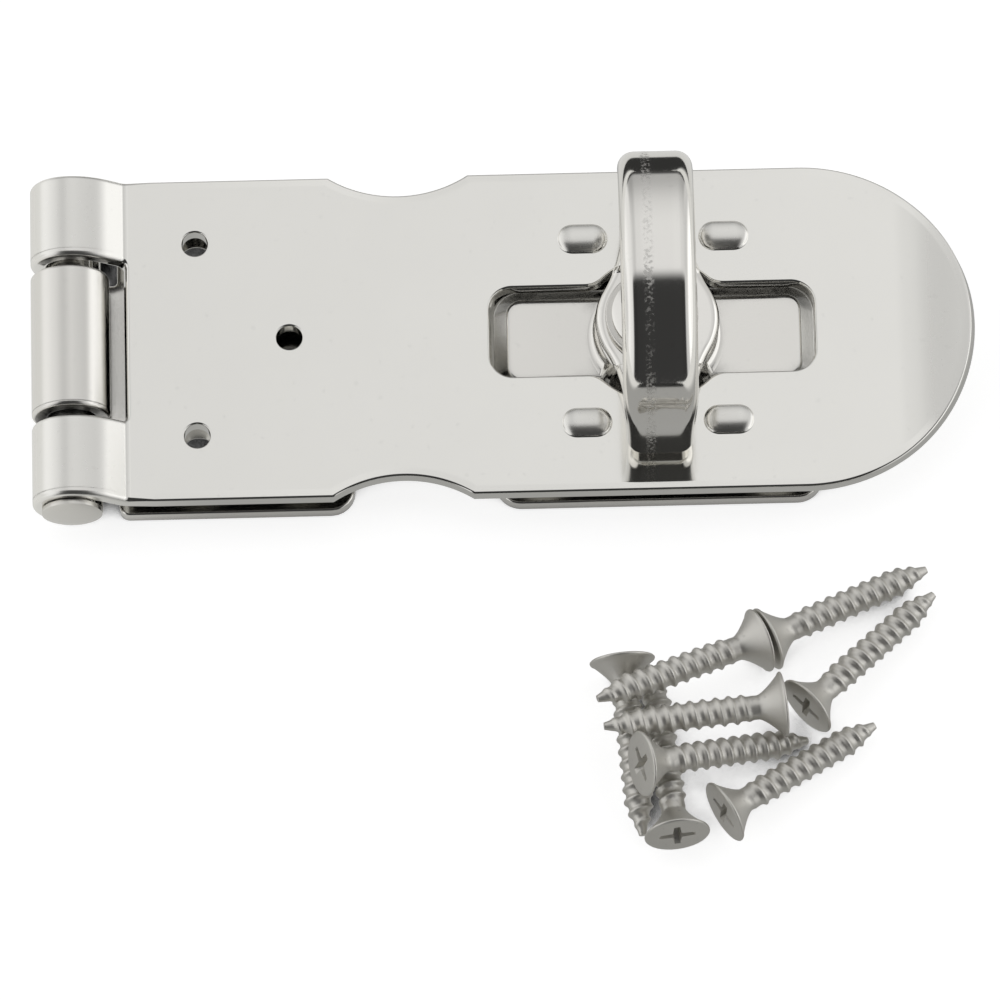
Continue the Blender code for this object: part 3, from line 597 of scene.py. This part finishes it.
def make_base():
    """The base plate with its boss, its raised pad, and the hollows pressed under both."""
    outline = round_box(
        BASE_LOW[0] - PIVOT_X, BASE_LOW[1], BASE_HIGH[0] - PIVOT_X, BASE_HIGH[1], BASE_CORNER, 6.0)
    blank = Blank()
    blank.through(outline, wall_profile(PLATE_EDGE), hole=False)
    blank.through(circle((0.0, 0.0), BORE_R, 3.0), boss_profile(BORE_R))
    for centre in four_ways(BASE_HOLE_X, BASE_HOLE_Y):
        blank.through(circle(centre, SCREW_HOLE_R), sink_profile())
    base = blank.finish("base_steel", (), None, (0.0, 0.0, SHEET / 2.0))
    combine(base, "UNION", make_pad())
    under = BASE_HIGH[2] - BOSS_WALL
    mouth, inner, over = BOSS_FOOT_R - BOSS_WALL * 1.1, BOSS_TOP_R - BOSS_WALL, 0.5 * MM
    hollow = round_profile([
        (0.0, -SHEET, 0.0), (mouth + 0.3 * MM, -SHEET, 0.0), (mouth, 0.1 * MM, 0.0), (inner, under, over),
        (0.0, under, 0.0)])
    combine(base, "DIFFERENCE", object_from("hollow_tool", turned(hollow)))
    wall = SHEET - 0.1 * MM
    half = PAD_HALF - 1.5 * wall
    outline = round_box(
        PAD_FROM + 1.5 * wall, -half, PAD_TO - 1.5 * wall, half, PAD_HOLLOW_CORNER, 30.0)
    combine(base, "DIFFERENCE", layered("pad_tool", outline, [(0.0, -SHEET), (0.0, PAD_TOP - wall)]))
    even_shading(base)
    base.location = (PIVOT_X, 0.0, 0.0)
    return base


def make_pad():
    """The raised pad that crosses under the boss, with sloped sides and a rounded top and foot."""
    outline = round_box(PAD_FROM, -PAD_HALF, PAD_TO, PAD_HALF, PAD_CORNER, 9.0)
    levels = round_profile([
        (-PAD_SINK, 0.6 * SHEET, 0.0), (-PAD_SINK, SHEET - 0.02 * MM, 0.0), (0.0, SHEET, PAD_ROUNDING),
        (PAD_SLOPE, PAD_TOP, PAD_ROUNDING), (2.2 * MM, PAD_TOP, 0.0)])
    return layered("pad", outline, levels)


def layered(name, outline, levels):
    """A closed solid through copies of an outline, each drawn in by an inset at a height."""
    blank = Blank()
    rings = blank.rings(outline, [(inset, height, 0.0) for inset, height in levels], False)
    blank.bm.faces.new(rings[0])
    blank.bm.faces.new(rings[-1])
    return object_from(name, blank.bm)


def even_shading(obj):
    """Weight the normals by area for good, so that flat faces shade flat up to their rounded edges."""
    obj.modifiers.new("weigh", "WEIGHTED_NORMAL").keep_sharp = True
    apply_modifiers(obj)


# Turned pieces

def object_from(name, bm, sharp=35.0):
    bmesh.ops.recalc_face_normals(bm, faces=bm.faces)
    mesh = bpy.data.meshes.new(name)
    bm.to_mesh(mesh)
    bm.free()
    mesh.shade_smooth()
    mesh.set_sharp_from_angle(angle=math.radians(sharp))
    return new_object(name, mesh)


def turned_rings(bm, profile, step):
    """A ring of vertices for each (radius, height) point, or a single one on the axis."""
    rings = []
    for radius, height in profile:
        points = circle((0.0, 0.0), radius, step) if radius else [(0.0, 0.0)]
        rings.append([bm.verts.new((x, y, height)) for x, y in points])
    return rings


def turned(profile, step=4.0):
    """A solid of revolution about Z from (radius, height) points: closed, or from axis to axis."""
    bm = bmesh.new()
    rings = turned_rings(bm, profile, step)
    skin(bm, rings, closed=len(rings[0]) > 1)
    return bm


def make_pin():
    """The hinge pin, with its low round head at the near end."""
    low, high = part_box("hinge_pin")
    head_r = (high[0] - low[0]) / 2.0
    pin_r = BARREL_R - SHEET - PIN_PLAY
    far, near = -high[1], -low[1]
    neck = STRAP_HALF + 0.1 * MM
    edge = near - PIN_EDGE
    crown = [(head_r * share, near - (near - edge) * share ** 3) for share in PIN_CROWN]
    profile = round_profile([
        (0.0, far, 0.0), (pin_r, far, 0.4 * MM), (pin_r, neck, 0.0), (head_r, neck, 0.1 * MM),
        (head_r, edge, 0.12 * MM)])
    profile = profile[:-1] + [(head_r, edge - 0.05 * MM)] + crown + [(0.0, near)]
    bm = turned(profile)
    upright = Matrix.Rotation(math.pi / 2.0, 3, "X")
    bmesh.ops.rotate(bm, verts=bm.verts, cent=(0.0, 0.0, 0.0), matrix=upright)
    pin = object_from("pin_steel", bm)
    pin.location = (HINGE_X, 0.0, HINGE_Z)
    return pin


def make_rivet():
    """The rivet: a low domed head, a shank through the loop and the boss, and a set tail."""
    low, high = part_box("loop_rivet")
    head_r = (high[0] - low[0]) / 2.0
    head_from, bottom, dome_h = high[2] - RIVET_RISE, low[2], RIVET_RISE - RIVET_EDGE
    tail_to = bottom + RIVET_TAIL_H
    dome_r = (head_r ** 2 + dome_h ** 2) / (2.0 * dome_h)
    edge = math.degrees(math.asin(head_r / dome_r))
    crown = arc((0.0, high[2] - dome_r), dome_r, 90.0 - edge, 90.0, 3.0)
    profile = round_profile([
        (0.0, bottom, 0.0), (RIVET_TAIL_R, bottom, 0.5 * MM), (RIVET_TAIL_R, tail_to, 0.2 * MM),
        (RIVET_SHANK_R, tail_to, 0.0), (RIVET_SHANK_R, head_from, 0.0),
        (head_r, head_from, 0.08 * MM), (head_r, head_from + RIVET_EDGE, 0.12 * MM),
        *((r, z, 0.0) for r, z in crown[1:-1]), (0.0, high[2], 0.0)])
    bm = turned(profile)
    for vert in bm.verts:
        if vert.co.z > head_from - 0.01 * MM:
            vert.co.x -= HEAD_SHIFT
    rivet = object_from("rivet_steel", bm)
    rivet.location = (PIVOT_X, 0.0, 0.0)
    return rivet


def make_ring(name, node, inner, edge, wave=0.0, shift=0.0):
    """A washer that fills its CAD node's box, with rounded edges and an optional three-lobed wave."""
    low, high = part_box(node)
    outer = (high[0] - low[0]) / 2.0
    bottom, top = low[2] + wave, high[2] - wave
    corners = [(inner, bottom), (outer, bottom), (outer, top), (inner, top)]
    rows = []
    for i, (r, z) in enumerate(corners):
        before, after = Vector(corners[i - 1]), Vector(corners[(i + 1) % 4])
        here = Vector((r, z))
        centre = here + (before - here).normalized() * edge + (after - here).normalized() * edge
        start = (before - here).normalized() * edge + here - centre
        first = math.degrees(math.atan2(start.y, start.x))
        rows += arc(centre, edge, first, first + 90.0, 22.5)
    bm = turned(rows)
    for vert in bm.verts:
        vert.co.z += wave * math.sin(3.0 * math.atan2(vert.co.y, vert.co.x))
    ring = object_from(name, bm, 60.0)
    ring.location = (PIVOT_X - shift, 0.0, 0.0)
    return ring


# Turning loop

def foot_half_width(y):
    """Half of the foot's width at a distance from its middle: a disc that narrows smoothly to the band."""
    half, reach = LOOP_BAND_LOW / 2.0, abs(y)
    radius = (FOOT_FLARE ** 2 + half ** 2 - FOOT_R ** 2) / (2.0 * (FOOT_R - half))
    touch = FOOT_R * math.sin(math.atan2(FOOT_FLARE, half + radius))
    if reach >= FOOT_FLARE:
        return half
    if reach <= touch:
        return math.sqrt(FOOT_R ** 2 - reach ** 2)
    return half + radius - math.sqrt(radius ** 2 - (FOOT_FLARE - reach) ** 2)


def loop_section(half, wall, r_inner, r_outer):
    """A closed section across the band, as (x, depth) points, with depth 0 on its inner face."""
    corners = (
        (half, wall, r_outer, 0.0), (-half, wall, r_outer, 90.0),
        (-half, 0.0, r_inner, 180.0), (half, 0.0, r_inner, 270.0))
    rows = []
    for x, depth, radius, start in corners:
        centre = (x - math.copysign(radius, x), depth - radius if depth else radius)
        rows += arc(centre, radius, start, start + 90.0, 10.0)
        if start in (0.0, 180.0):
            rows += [(centre[0] * (1.0 - k / 3.0), depth) for k in range(1, 6)]
    return rows


def side_view(half_y, bottom, top, heel, shoulder, crown):
    """The loop's half outline seen along X, from the middle of its foot to the middle of its crown."""
    low_run = half_y - heel
    cosine = (half_y - shoulder) / (crown - shoulder)
    meet = math.degrees(math.acos(cosine))
    rise = math.sqrt((crown - shoulder) ** 2 - (half_y - shoulder) ** 2)
    shoulder_z = top - crown + rise
    rows = [(low_run * i / 60.0, bottom, -90.0) for i in range(60)]
    rows += [(low_run + heel * math.cos(a), bottom + heel + heel * math.sin(a), math.degrees(a))
             for a in (math.radians(-90.0 + 4.5 * i) for i in range(21))]
    side = shoulder_z - (bottom + heel)
    rows += [(half_y, bottom + heel + side * i / 6.0, 0.0) for i in range(1, 6)]
    rows += [(y, z, meet * i / 24.0) for i, (y, z) in enumerate(
        arc((half_y - shoulder, shoulder_z), shoulder, 0.0, meet, meet / 24.0 + 1e-6))]
    rows += [(y, z, meet + (90.0 - meet) * (i + 1) / 12.0) for i, (y, z) in enumerate(
        arc((0.0, top - crown), crown, meet, 90.0, (90.0 - meet) / 12.0 + 1e-6)[1:])]
    return rows


def loop_stations():
    """Places round the loop: (outer point, inner point, half width, wall), with points in Y and Z."""
    outer = side_view(LOOP_HIGH[1], LOOP_LOW[2], LOOP_HIGH[2], LOOP_HEEL_R, LOOP_ARCH_R, LOOP_CROWN_R)
    stations = []
    for y, z, angle in outer:
        cosine, sine = direction(angle)
        share = clamp((z - LOOP_LOW[2] - LOOP_HEEL_R) / BAND_EASE)
        half = ease(share, LOOP_BAND_LOW, LOOP_BAND) / 2.0
        wall = LOOP_WALL
        if angle == -90.0:
            half = foot_half_width(y)
            wall -= FLOOR_DROP * (1.0 - ease(clamp(0.5 + (y - FLOOR_HALF) / FLOOR_EASE)))
        elif angle < 0.0:
            share = (angle + 90.0) / 90.0
            wall += HEEL_THICKENING * math.sin(math.pi * share)
        inner = (y - wall * cosine, z - wall * sine)
        stations.append(((y, z), inner, half, wall))
    return stations + [
        ((-y, z), (-inner_y, inner_z), half, wall)
        for (y, z), (inner_y, inner_z), half, wall in reversed(stations[1:-1])]


def make_loop():
    """The turning loop: one band swept round a tall ring, whose lower side widens into a round foot."""
    bm = bmesh.new()
    rings = []
    for outer, inner, half, wall in loop_stations():
        thin = max(0.0, (LOOP_WALL - wall) / FLOOR_DROP)
        section = loop_section(half, wall, LOOP_CORNER - FLOOR_SOFTER * thin, LOOP_CORNER)
        ring = []
        for x, depth in section:
            share = depth / wall
            y, z = (a + (b - a) * share for a, b in zip(inner, outer))
            ring.append(bm.verts.new((x, y, z)))
        rings.append(ring)
    skin(bm, rings, closed=True)
    loop = object_from("loop_steel", bm, 50.0)
    bore = turned([(0.0, -2 * MM), (BORE_R, -2 * MM), (BORE_R, 6 * MM), (0.0, 6 * MM)], 10.0)
    bmesh.ops.translate(bore, verts=bore.verts, vec=(0.0, 0.0, LOOP_LOW[2]))
    combine(loop, "DIFFERENCE", object_from("bore_tool", bore))
    loop.location = (PIVOT_X + LOOP_PLAY, 0.0, 0.0)
    return loop


# Screws

def thread_radius(share, z):
    """The screw's radius at a share of one pitch and a distance from its head's face."""
    left = SCREW_LENGTH - z
    core = CORE_R * min(1.0, 0.3 + 0.7 * max(0.0, left - POINT_CUT) / POINT_TAPER)
    fade_in = clamp((z - SCREW_HEAD_H - 0.3 * MM) / (1.2 * THREAD_PITCH))
    fade_out = clamp((left - 1.1 * MM) / (1.4 * MM))
    ridge = 0.5 + 0.5 * math.cos(math.pi * (2.0 * share - 1.0))
    return core + (THREAD_R - CORE_R) * ridge ** 2.0 * fade_in * fade_out


def screw_shank():
    """The threaded part, as a grid whose rows follow the thread's helix, closed at the point."""
    bm = bmesh.new()
    neck, end, per_turn = SCREW_HEAD_H, SCREW_LENGTH - POINT_CUT, THREAD_ROWS
    turns = math.ceil((end - neck) / THREAD_PITCH) + 1
    grid = []
    for j in range(turns * per_turn + 1):
        row = []
        for i in range(THREAD_STEPS):
            z = neck + (j / per_turn - 1.0 + i / THREAD_STEPS) * THREAD_PITCH
            z = min(max(z, neck), end)
            radius = thread_radius((j / per_turn) % 1.0, z)
            angle = 2.0 * math.pi * i / THREAD_STEPS
            row.append(bm.verts.new((radius * math.cos(angle), radius * math.sin(angle), z)))
        grid.append(row)
    for j in range(turns * per_turn):
        row, above = grid[j], grid[j + 1]
        for i in range(THREAD_STEPS - 1):
            bm.faces.new((row[i], row[i + 1], above[i + 1], above[i]))
        if j + per_turn < turns * per_turn:
            bm.faces.new((row[-1], grid[j + per_turn][0], grid[j + per_turn + 1][0], above[-1]))
    return bm


def screw_head(bm):
    """The countersunk head, added to the shank's mesh: a flat face, a thin rim and a cone that flares."""
    neck, rim = SCREW_HEAD_H, SCREW_HEAD_R
    profile = [
        (0.0, 0.0), (1.5 * MM, 0.0), (rim - 0.3 * MM, 0.0), (rim - 0.1 * MM, 0.04 * MM), (rim, 0.14 * MM),
        (rim, 0.24 * MM), (rim - 0.06 * MM, SCREW_RIM)]
    for i in range(1, HEAD_FLARE_ROWS + 1):
        t = i / HEAD_FLARE_ROWS
        wide = (1.0 - t) ** HEAD_FLARE * (rim - 0.15 * MM - CORE_R)
        profile.append((CORE_R + wide, SCREW_RIM + t * (neck - SCREW_RIM)))
    skin(bm, turned_rings(bm, profile, 360.0 / THREAD_STEPS))


def recess_tool():
    """The cross recess's tool: two crossed blades that narrow downwards."""
    points = []
    narrow, wide = RECESS_WIDTH / 2.0, RECESS_LENGTH / 2.0
    for quarter in range(4):
        a = quarter * math.pi / 2.0
        for x, y in ((narrow, -narrow), (wide, -0.7 * narrow), (wide, 0.7 * narrow)):
            points.append((x * math.cos(a) - y * math.sin(a), x * math.sin(a) + y * math.cos(a)))
    bm = bmesh.new()
    rings = [[bm.verts.new((x * share, y * share, z)) for x, y in points] for z, share in RECESS_LEVELS]
    skin(bm, rings)
    bm.faces.new(rings[0])
    bm.faces.new(rings[-1])
    return bm


def make_screws():
    """All the screws share one mesh, each turned and placed by its row in the screw table."""
    bm = screw_shank()
    screw_head(bm)
    bmesh.ops.remove_doubles(bm, verts=bm.verts, dist=2e-6)
    bmesh.ops.dissolve_degenerate(bm, dist=1e-7, edges=bm.edges)
    bmesh.ops.holes_fill(bm, edges=[edge for edge in bm.edges if edge.is_boundary])
    first = object_from("screw_steel_1", bm, 40.0)
    combine(first, "DIFFERENCE", object_from("recess_tool", recess_tool()))
    screws = [first] + [new_object(f"screw_steel_{i + 1}", first.data) for i in range(1, len(SCREWS))]
    for screw, (place, heading, rise) in zip(screws, SCREWS):
        x, y, z = (value * MM for value in place)
        turn = Matrix.Rotation(math.radians(heading), 4, "Z")
        dip = Matrix.Rotation(math.radians(90.0 - rise), 4, "Y")
        screw.matrix_world = Matrix.Translation((HINGE_X + x, y, z)) @ (turn @ dip)
    return screws


# Finishes

class Nodes:
    """A short way to build a node tree: each call adds one node and gives its output."""

    def __init__(self, tree):
        self.tree = tree
        self.tree.nodes.clear()

    def add(self, kind, output=0, settings=None, **inputs):
        node = self.tree.nodes.new(kind)
        for key, value in (settings or {}).items():
            setattr(node, key, value)
        for key, value in inputs.items():
            numbered = key[0] == "i" and key[1:].isdigit()
            socket = node.inputs[int(key[1:]) if numbered else key.replace("_", " ")]
            if isinstance(value, bpy.types.NodeSocket):
                self.tree.links.new(value, socket)
            else:
                socket.default_value = value
        return node.outputs[output] if node.outputs else None

    def math(self, operation, a, b=0.0, c=0.5):
        return self.add("ShaderNodeMath", settings={"operation": operation}, i0=a, i1=b, i2=c)

    def split(self, vector):
        """A vector's three parts."""
        node = self.tree.nodes.new("ShaderNodeSeparateXYZ")
        self.tree.links.new(vector, node.inputs[0])
        return node.outputs

    def smooth(self, value, low, high, first=0.0, last=1.0):
        return self.add(
            "ShaderNodeMapRange", settings={"interpolation_type": "SMOOTHSTEP"},
            i0=value, i1=low, i2=high, i3=first, i4=last)

    def openness(self, reach, samples):
        """How clear of other surfaces a point is, within a reach."""
        return self.add("ShaderNodeAmbientOcclusion", 1, {"samples": samples}, Distance=reach)

    def ramp(self, value, stops):
        """A smooth curve through (position, brightness) stops."""
        node = self.tree.nodes.new("ShaderNodeValToRGB")
        node.color_ramp.interpolation = "EASE"
        elements = node.color_ramp.elements
        for place, level in stops[2:]:
            elements.new(place)
        for element, (place, level) in zip(elements, stops):
            element.position = place
            element.color = (level, level, level, 1.0)
        self.tree.links.new(value, node.inputs[0])
        return node.outputs[0]


def new_material(name):
    material = bpy.data.materials.new(name)
    material.use_nodes = True
    return material, Nodes(material.node_tree)


def steel(name, colour, roughness, cloud=0.04, specks=0.03, grain=0.0, seam=None, satin=0.0, crevice_shade_reach=0.0):
    """Polished stainless steel: faint clouds, small dark specks, and a fine uneven grain in its gloss.

    A seam adds its marks, satin roughens what lies above the strap's top, and a crevice reach paints shade:
    the colour darkens where other surfaces lie within it.
    """
    material, nodes = new_material(name)
    place = nodes.add("ShaderNodeTexCoord", output=3)
    clouds = nodes.add("ShaderNodeTexNoise", Vector=place, Scale=CLOUD_SCALE, Detail=3.0, Roughness=0.55)
    fine = nodes.add("ShaderNodeTexNoise", Vector=place, Scale=GRAIN_SCALE, Detail=2.0, Roughness=0.6)
    flecks = nodes.add("ShaderNodeTexNoise", Vector=place, Scale=SPECK_SCALE, Detail=1.0, Roughness=0.4)
    speck = nodes.smooth(flecks, *SPECK_EDGE)
    shade = nodes.math("MULTIPLY_ADD", clouds, cloud, 1.0 - cloud * 0.5)
    shade = nodes.math("SUBTRACT", shade, nodes.math("MULTIPLY", speck, specks))
    bump_height = nodes.math("MULTIPLY", fine, grain)
    if seam:
        mark = seam(nodes, place)
        shade = nodes.math("SUBTRACT", shade, nodes.math("MULTIPLY", mark, MARK_SHADE))
        bump_height = nodes.math("SUBTRACT", bump_height, nodes.math("MULTIPLY", mark, MARK_DEPTH))
    # Painted shade: the colour darkens where other surfaces lie near, as in crevices and between parts
    if crevice_shade_reach:
        clear = nodes.smooth(nodes.openness(crevice_shade_reach, 8), *CREVICE_SHADE_EDGE, CREVICE_SHADE_LEVEL)
        shade = nodes.math("MULTIPLY", shade, clear)
    tone = nodes.add("ShaderNodeVectorMath", settings={"operation": "SCALE"}, i0=colour, Scale=shade)
    gloss = nodes.add(
        "ShaderNodeMapRange", i0=fine, i1=0.25, i2=0.75,
        i3=roughness - GLOSS_SPREAD / 2, i4=roughness + GLOSS_SPREAD / 2)
    if seam:
        gloss = nodes.math("ADD", gloss, nodes.math("MULTIPLY", mark, MARK_DULL))
    if satin:
        height = nodes.split(place)[2]
        above = nodes.smooth(height, STRAP_TOP, STRAP_TOP + SATIN_EASE, 0.0, satin)
        gloss = nodes.math("ADD", gloss, above)
    bump = nodes.add("ShaderNodeBump", Height=bump_height, Strength=0.35, Distance=BUMP_REACH)
    shader = nodes.add(
        "ShaderNodeBsdfPrincipled", Base_Color=tone, Metallic=1.0, Roughness=gloss, Normal=bump)
    nodes.add("ShaderNodeOutputMaterial", Surface=shader)
    return material


def weld_marks(nodes, place):
    """A narrow strip of soft mottling along the loop's outer face."""
    across = nodes.math("ABSOLUTE", nodes.math("ADD", nodes.split(place)[0], MARK_OFFSET))
    strip = nodes.smooth(across, *MARK_STRIP, 1.0, 0.0)
    pits = nodes.add("ShaderNodeTexNoise", Vector=place, Scale=MARK_SCALE, Detail=1.0, Roughness=0.4)
    return nodes.math("MULTIPLY", strip, nodes.smooth(pits, *MARK_EDGE))


# Studio

def make_world():
    """A light tent by direction: broad side panels, a panel beyond the object, a dark opening in front."""
    world = bpy.data.worlds.new("studio")
    world.use_nodes = True
    bpy.context.scene.world = world
    nodes = Nodes(world.node_tree)
    dx, dy, dz = nodes.split(nodes.add("ShaderNodeTexCoord"))
    panels = nodes.ramp(nodes.math("MULTIPLY_ADD", dx, 0.5, 0.5), SIDE_PANELS)
    elevation = nodes.math("ARCTAN2", dy, dz)
    begins = nodes.smooth(elevation, *map(math.radians, OPENING_EDGE))
    ends = nodes.smooth(elevation, *map(math.radians, FAR_EDGE), 1.0, 0.0)
    falls = nodes.smooth(elevation, *map(math.radians, FAR_FALL), 1.0, FAR_LEVEL)
    lit = nodes.math("MULTIPLY", nodes.math("MULTIPLY", begins, ends), falls)
    centre = nodes.smooth(nodes.math("ABSOLUTE", dx), *OPENING_HALF, 1.0, 0.0)
    shade = nodes.math("MULTIPLY", centre, nodes.math("SUBTRACT", 1.0, lit))
    kept = nodes.math("MULTIPLY_ADD", shade, DARK_LEVEL - 1.0, 1.0)
    level = nodes.math("MULTIPLY", panels, kept)
    seen = nodes.add("ShaderNodeLightPath")
    strength = nodes.add("ShaderNodeMix", i0=seen, i2=level, i3=1.0)
    background = nodes.add("ShaderNodeBackground", Strength=strength)
    nodes.add("ShaderNodeOutputWorld", Surface=background)


def make_floor():
    """A plain floor with painted contact shade: near white to the camera, darker and in broad areas in the
    steel's reflections.
    """
    bm = bmesh.new()
    bmesh.ops.create_grid(bm, x_segments=1, y_segments=1, size=FLOOR_SIZE)
    floor = object_from("floor", bm)
    floor.location = (0.0, 0.0, FLOOR_HEIGHT)
    material, nodes = new_material("floor_paint")
    # Painted contact shade: the floor's colour and glow dim where pieces lie near
    clear = nodes.smooth(nodes.openness(CONTACT_SHADE_REACH, 16), *CONTACT_SHADE_EDGE)
    soft = nodes.add("ShaderNodeBsdfDiffuse", Color=nodes.math("MULTIPLY", clear, FLOOR_SOFT))
    strength = nodes.math("MULTIPLY", clear, FLOOR_GLOW)
    glow = nodes.add("ShaderNodeEmission", Color=(1.0, 1.0, 1.0, 1.0), Strength=strength)
    seen = nodes.add("ShaderNodeAddShader", i0=soft, i1=glow)
    x, y, _ = nodes.split(nodes.add("ShaderNodeTexCoord", output=3))
    begins, ends = nodes.smooth(x, *MIDDLE_EDGE[0]), nodes.smooth(x, *MIDDLE_EDGE[1], 1.0, 0.0)
    middle = nodes.math("MULTIPLY", begins, ends)
    level = nodes.math("MULTIPLY_ADD", middle, PALE_MIDDLE - PALE_SIDE, PALE_SIDE)
    level = nodes.math("MAXIMUM", level, nodes.smooth(y, *REAR_EDGE, 0.0, PALE_REAR))
    front = nodes.smooth(y, PALE_PATCH[0] - PATCH_EDGE[0], PALE_PATCH[0])
    behind = nodes.smooth(y, PALE_PATCH[1], PALE_PATCH[1] + PATCH_EDGE[1], 1.0, 0.0)
    patch = nodes.math("MULTIPLY", front, behind)
    patch = nodes.math("MAXIMUM", patch, nodes.math("SUBTRACT", 1.0, middle))
    level = nodes.math("MULTIPLY", level, nodes.math("MAXIMUM", patch, DARK_LEVEL))
    dull = nodes.add("ShaderNodeEmission", Color=(1.0, 1.0, 0.98, 1.0), Strength=level)
    camera = nodes.add("ShaderNodeLightPath")
    mixed = nodes.add("ShaderNodeMixShader", i0=camera, i1=dull, i2=seen)
    nodes.add("ShaderNodeOutputMaterial", Surface=mixed)
    floor.data.materials.append(material)


def make_camera():
    tilt, roll = math.radians(CAMERA_TILT), math.radians(CAMERA_ROLL)
    back = Vector((0.0, -math.sin(tilt), math.cos(tilt)))
    up = Vector((0.0, math.cos(tilt), math.sin(tilt)))
    across = Vector((math.cos(roll), 0.0, 0.0)) - up * math.sin(roll)
    up = up * math.cos(roll) + Vector((math.sin(roll), 0.0, 0.0))
    data = bpy.data.cameras.new("camera")
    data.lens, data.sensor_width = CAMERA_LENS, CAMERA_SENSOR
    data.clip_start, data.clip_end = 0.05, 20.0
    camera = new_object("camera", data)
    place = Vector(CAMERA_TARGET) + back * CAMERA_DISTANCE
    camera.matrix_world = Matrix.Translation(place) @ Matrix((across, up, back)).transposed().to_4x4()
    bpy.context.scene.camera = camera


def fit(obj, material, body, slot, *nodes):
    """Give a finished piece its material and its body, and hide the CAD nodes it stands for. Its record
    slot is not used.
    """
    obj.data.materials.clear()
    obj.data.materials.append(material)
    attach(obj, body)
    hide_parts(*nodes)


def build():
    strap_finish = steel("strap_finish", (0.83, 0.82, 0.785), 0.08, satin=0.2)
    # The plates' steel also gets painted shade in its crevices
    plate_finish_and_crevice_shade = steel("plate_finish_and_crevice_shade", (0.78, 0.765, 0.73), 0.14, satin=0.12, crevice_shade_reach=3.5 * MM)
    loop_finish = steel("loop_finish", (0.82, 0.805, 0.77), 0.09, seam=weld_marks)
    plain_finish = steel("plain_finish", (0.7, 0.685, 0.65), 0.26)
    screw_finish = steel("screw_finish", (0.7, 0.685, 0.645), 0.48, cloud=0.2, specks=0.12, grain=0.2)
    fit(make_strap(), strap_finish, "strap", "polished_strap", "hasp_strap")
    fit(make_leaf(), plate_finish_and_crevice_shade, "leaf", "polished_plate", "hinge_leaf")
    fit(make_pin(), plain_finish, "strap", "plain_steel", "hinge_pin")
    fit(make_base(), plate_finish_and_crevice_shade, "strap", "polished_plate", "staple_base")
    fit(make_loop(), loop_finish, "staple_loop", "polished_loop", "turn_loop")
    fit(make_rivet(), loop_finish, "staple_loop", "polished_loop", "loop_rivet")
    washers = (
        ("washer_steel", "rivet_washer", "staple_loop", BORE_R + HEAD_SHIFT, 0.2 * MM, 0.0, HEAD_SHIFT),
        ("back_washer_steel", "back_washer", "staple_loop", BORE_R, 0.15 * MM),
        ("wave_washer_steel", "wave_washer", "strap", BORE_R, 0.1 * MM, 0.2 * MM))
    for name, node, body, *shape in washers:
        fit(make_ring(name, node, *shape), plain_finish, body, "plain_steel", node)
    for i, screw in enumerate(make_screws()):
        fit(screw, screw_finish, "loose_screws", "screw_steel", f"screw_{i + 1}")
    make_floor()
    make_world()
    make_camera()
    bpy.context.scene.view_settings.view_transform = "Standard"


build()
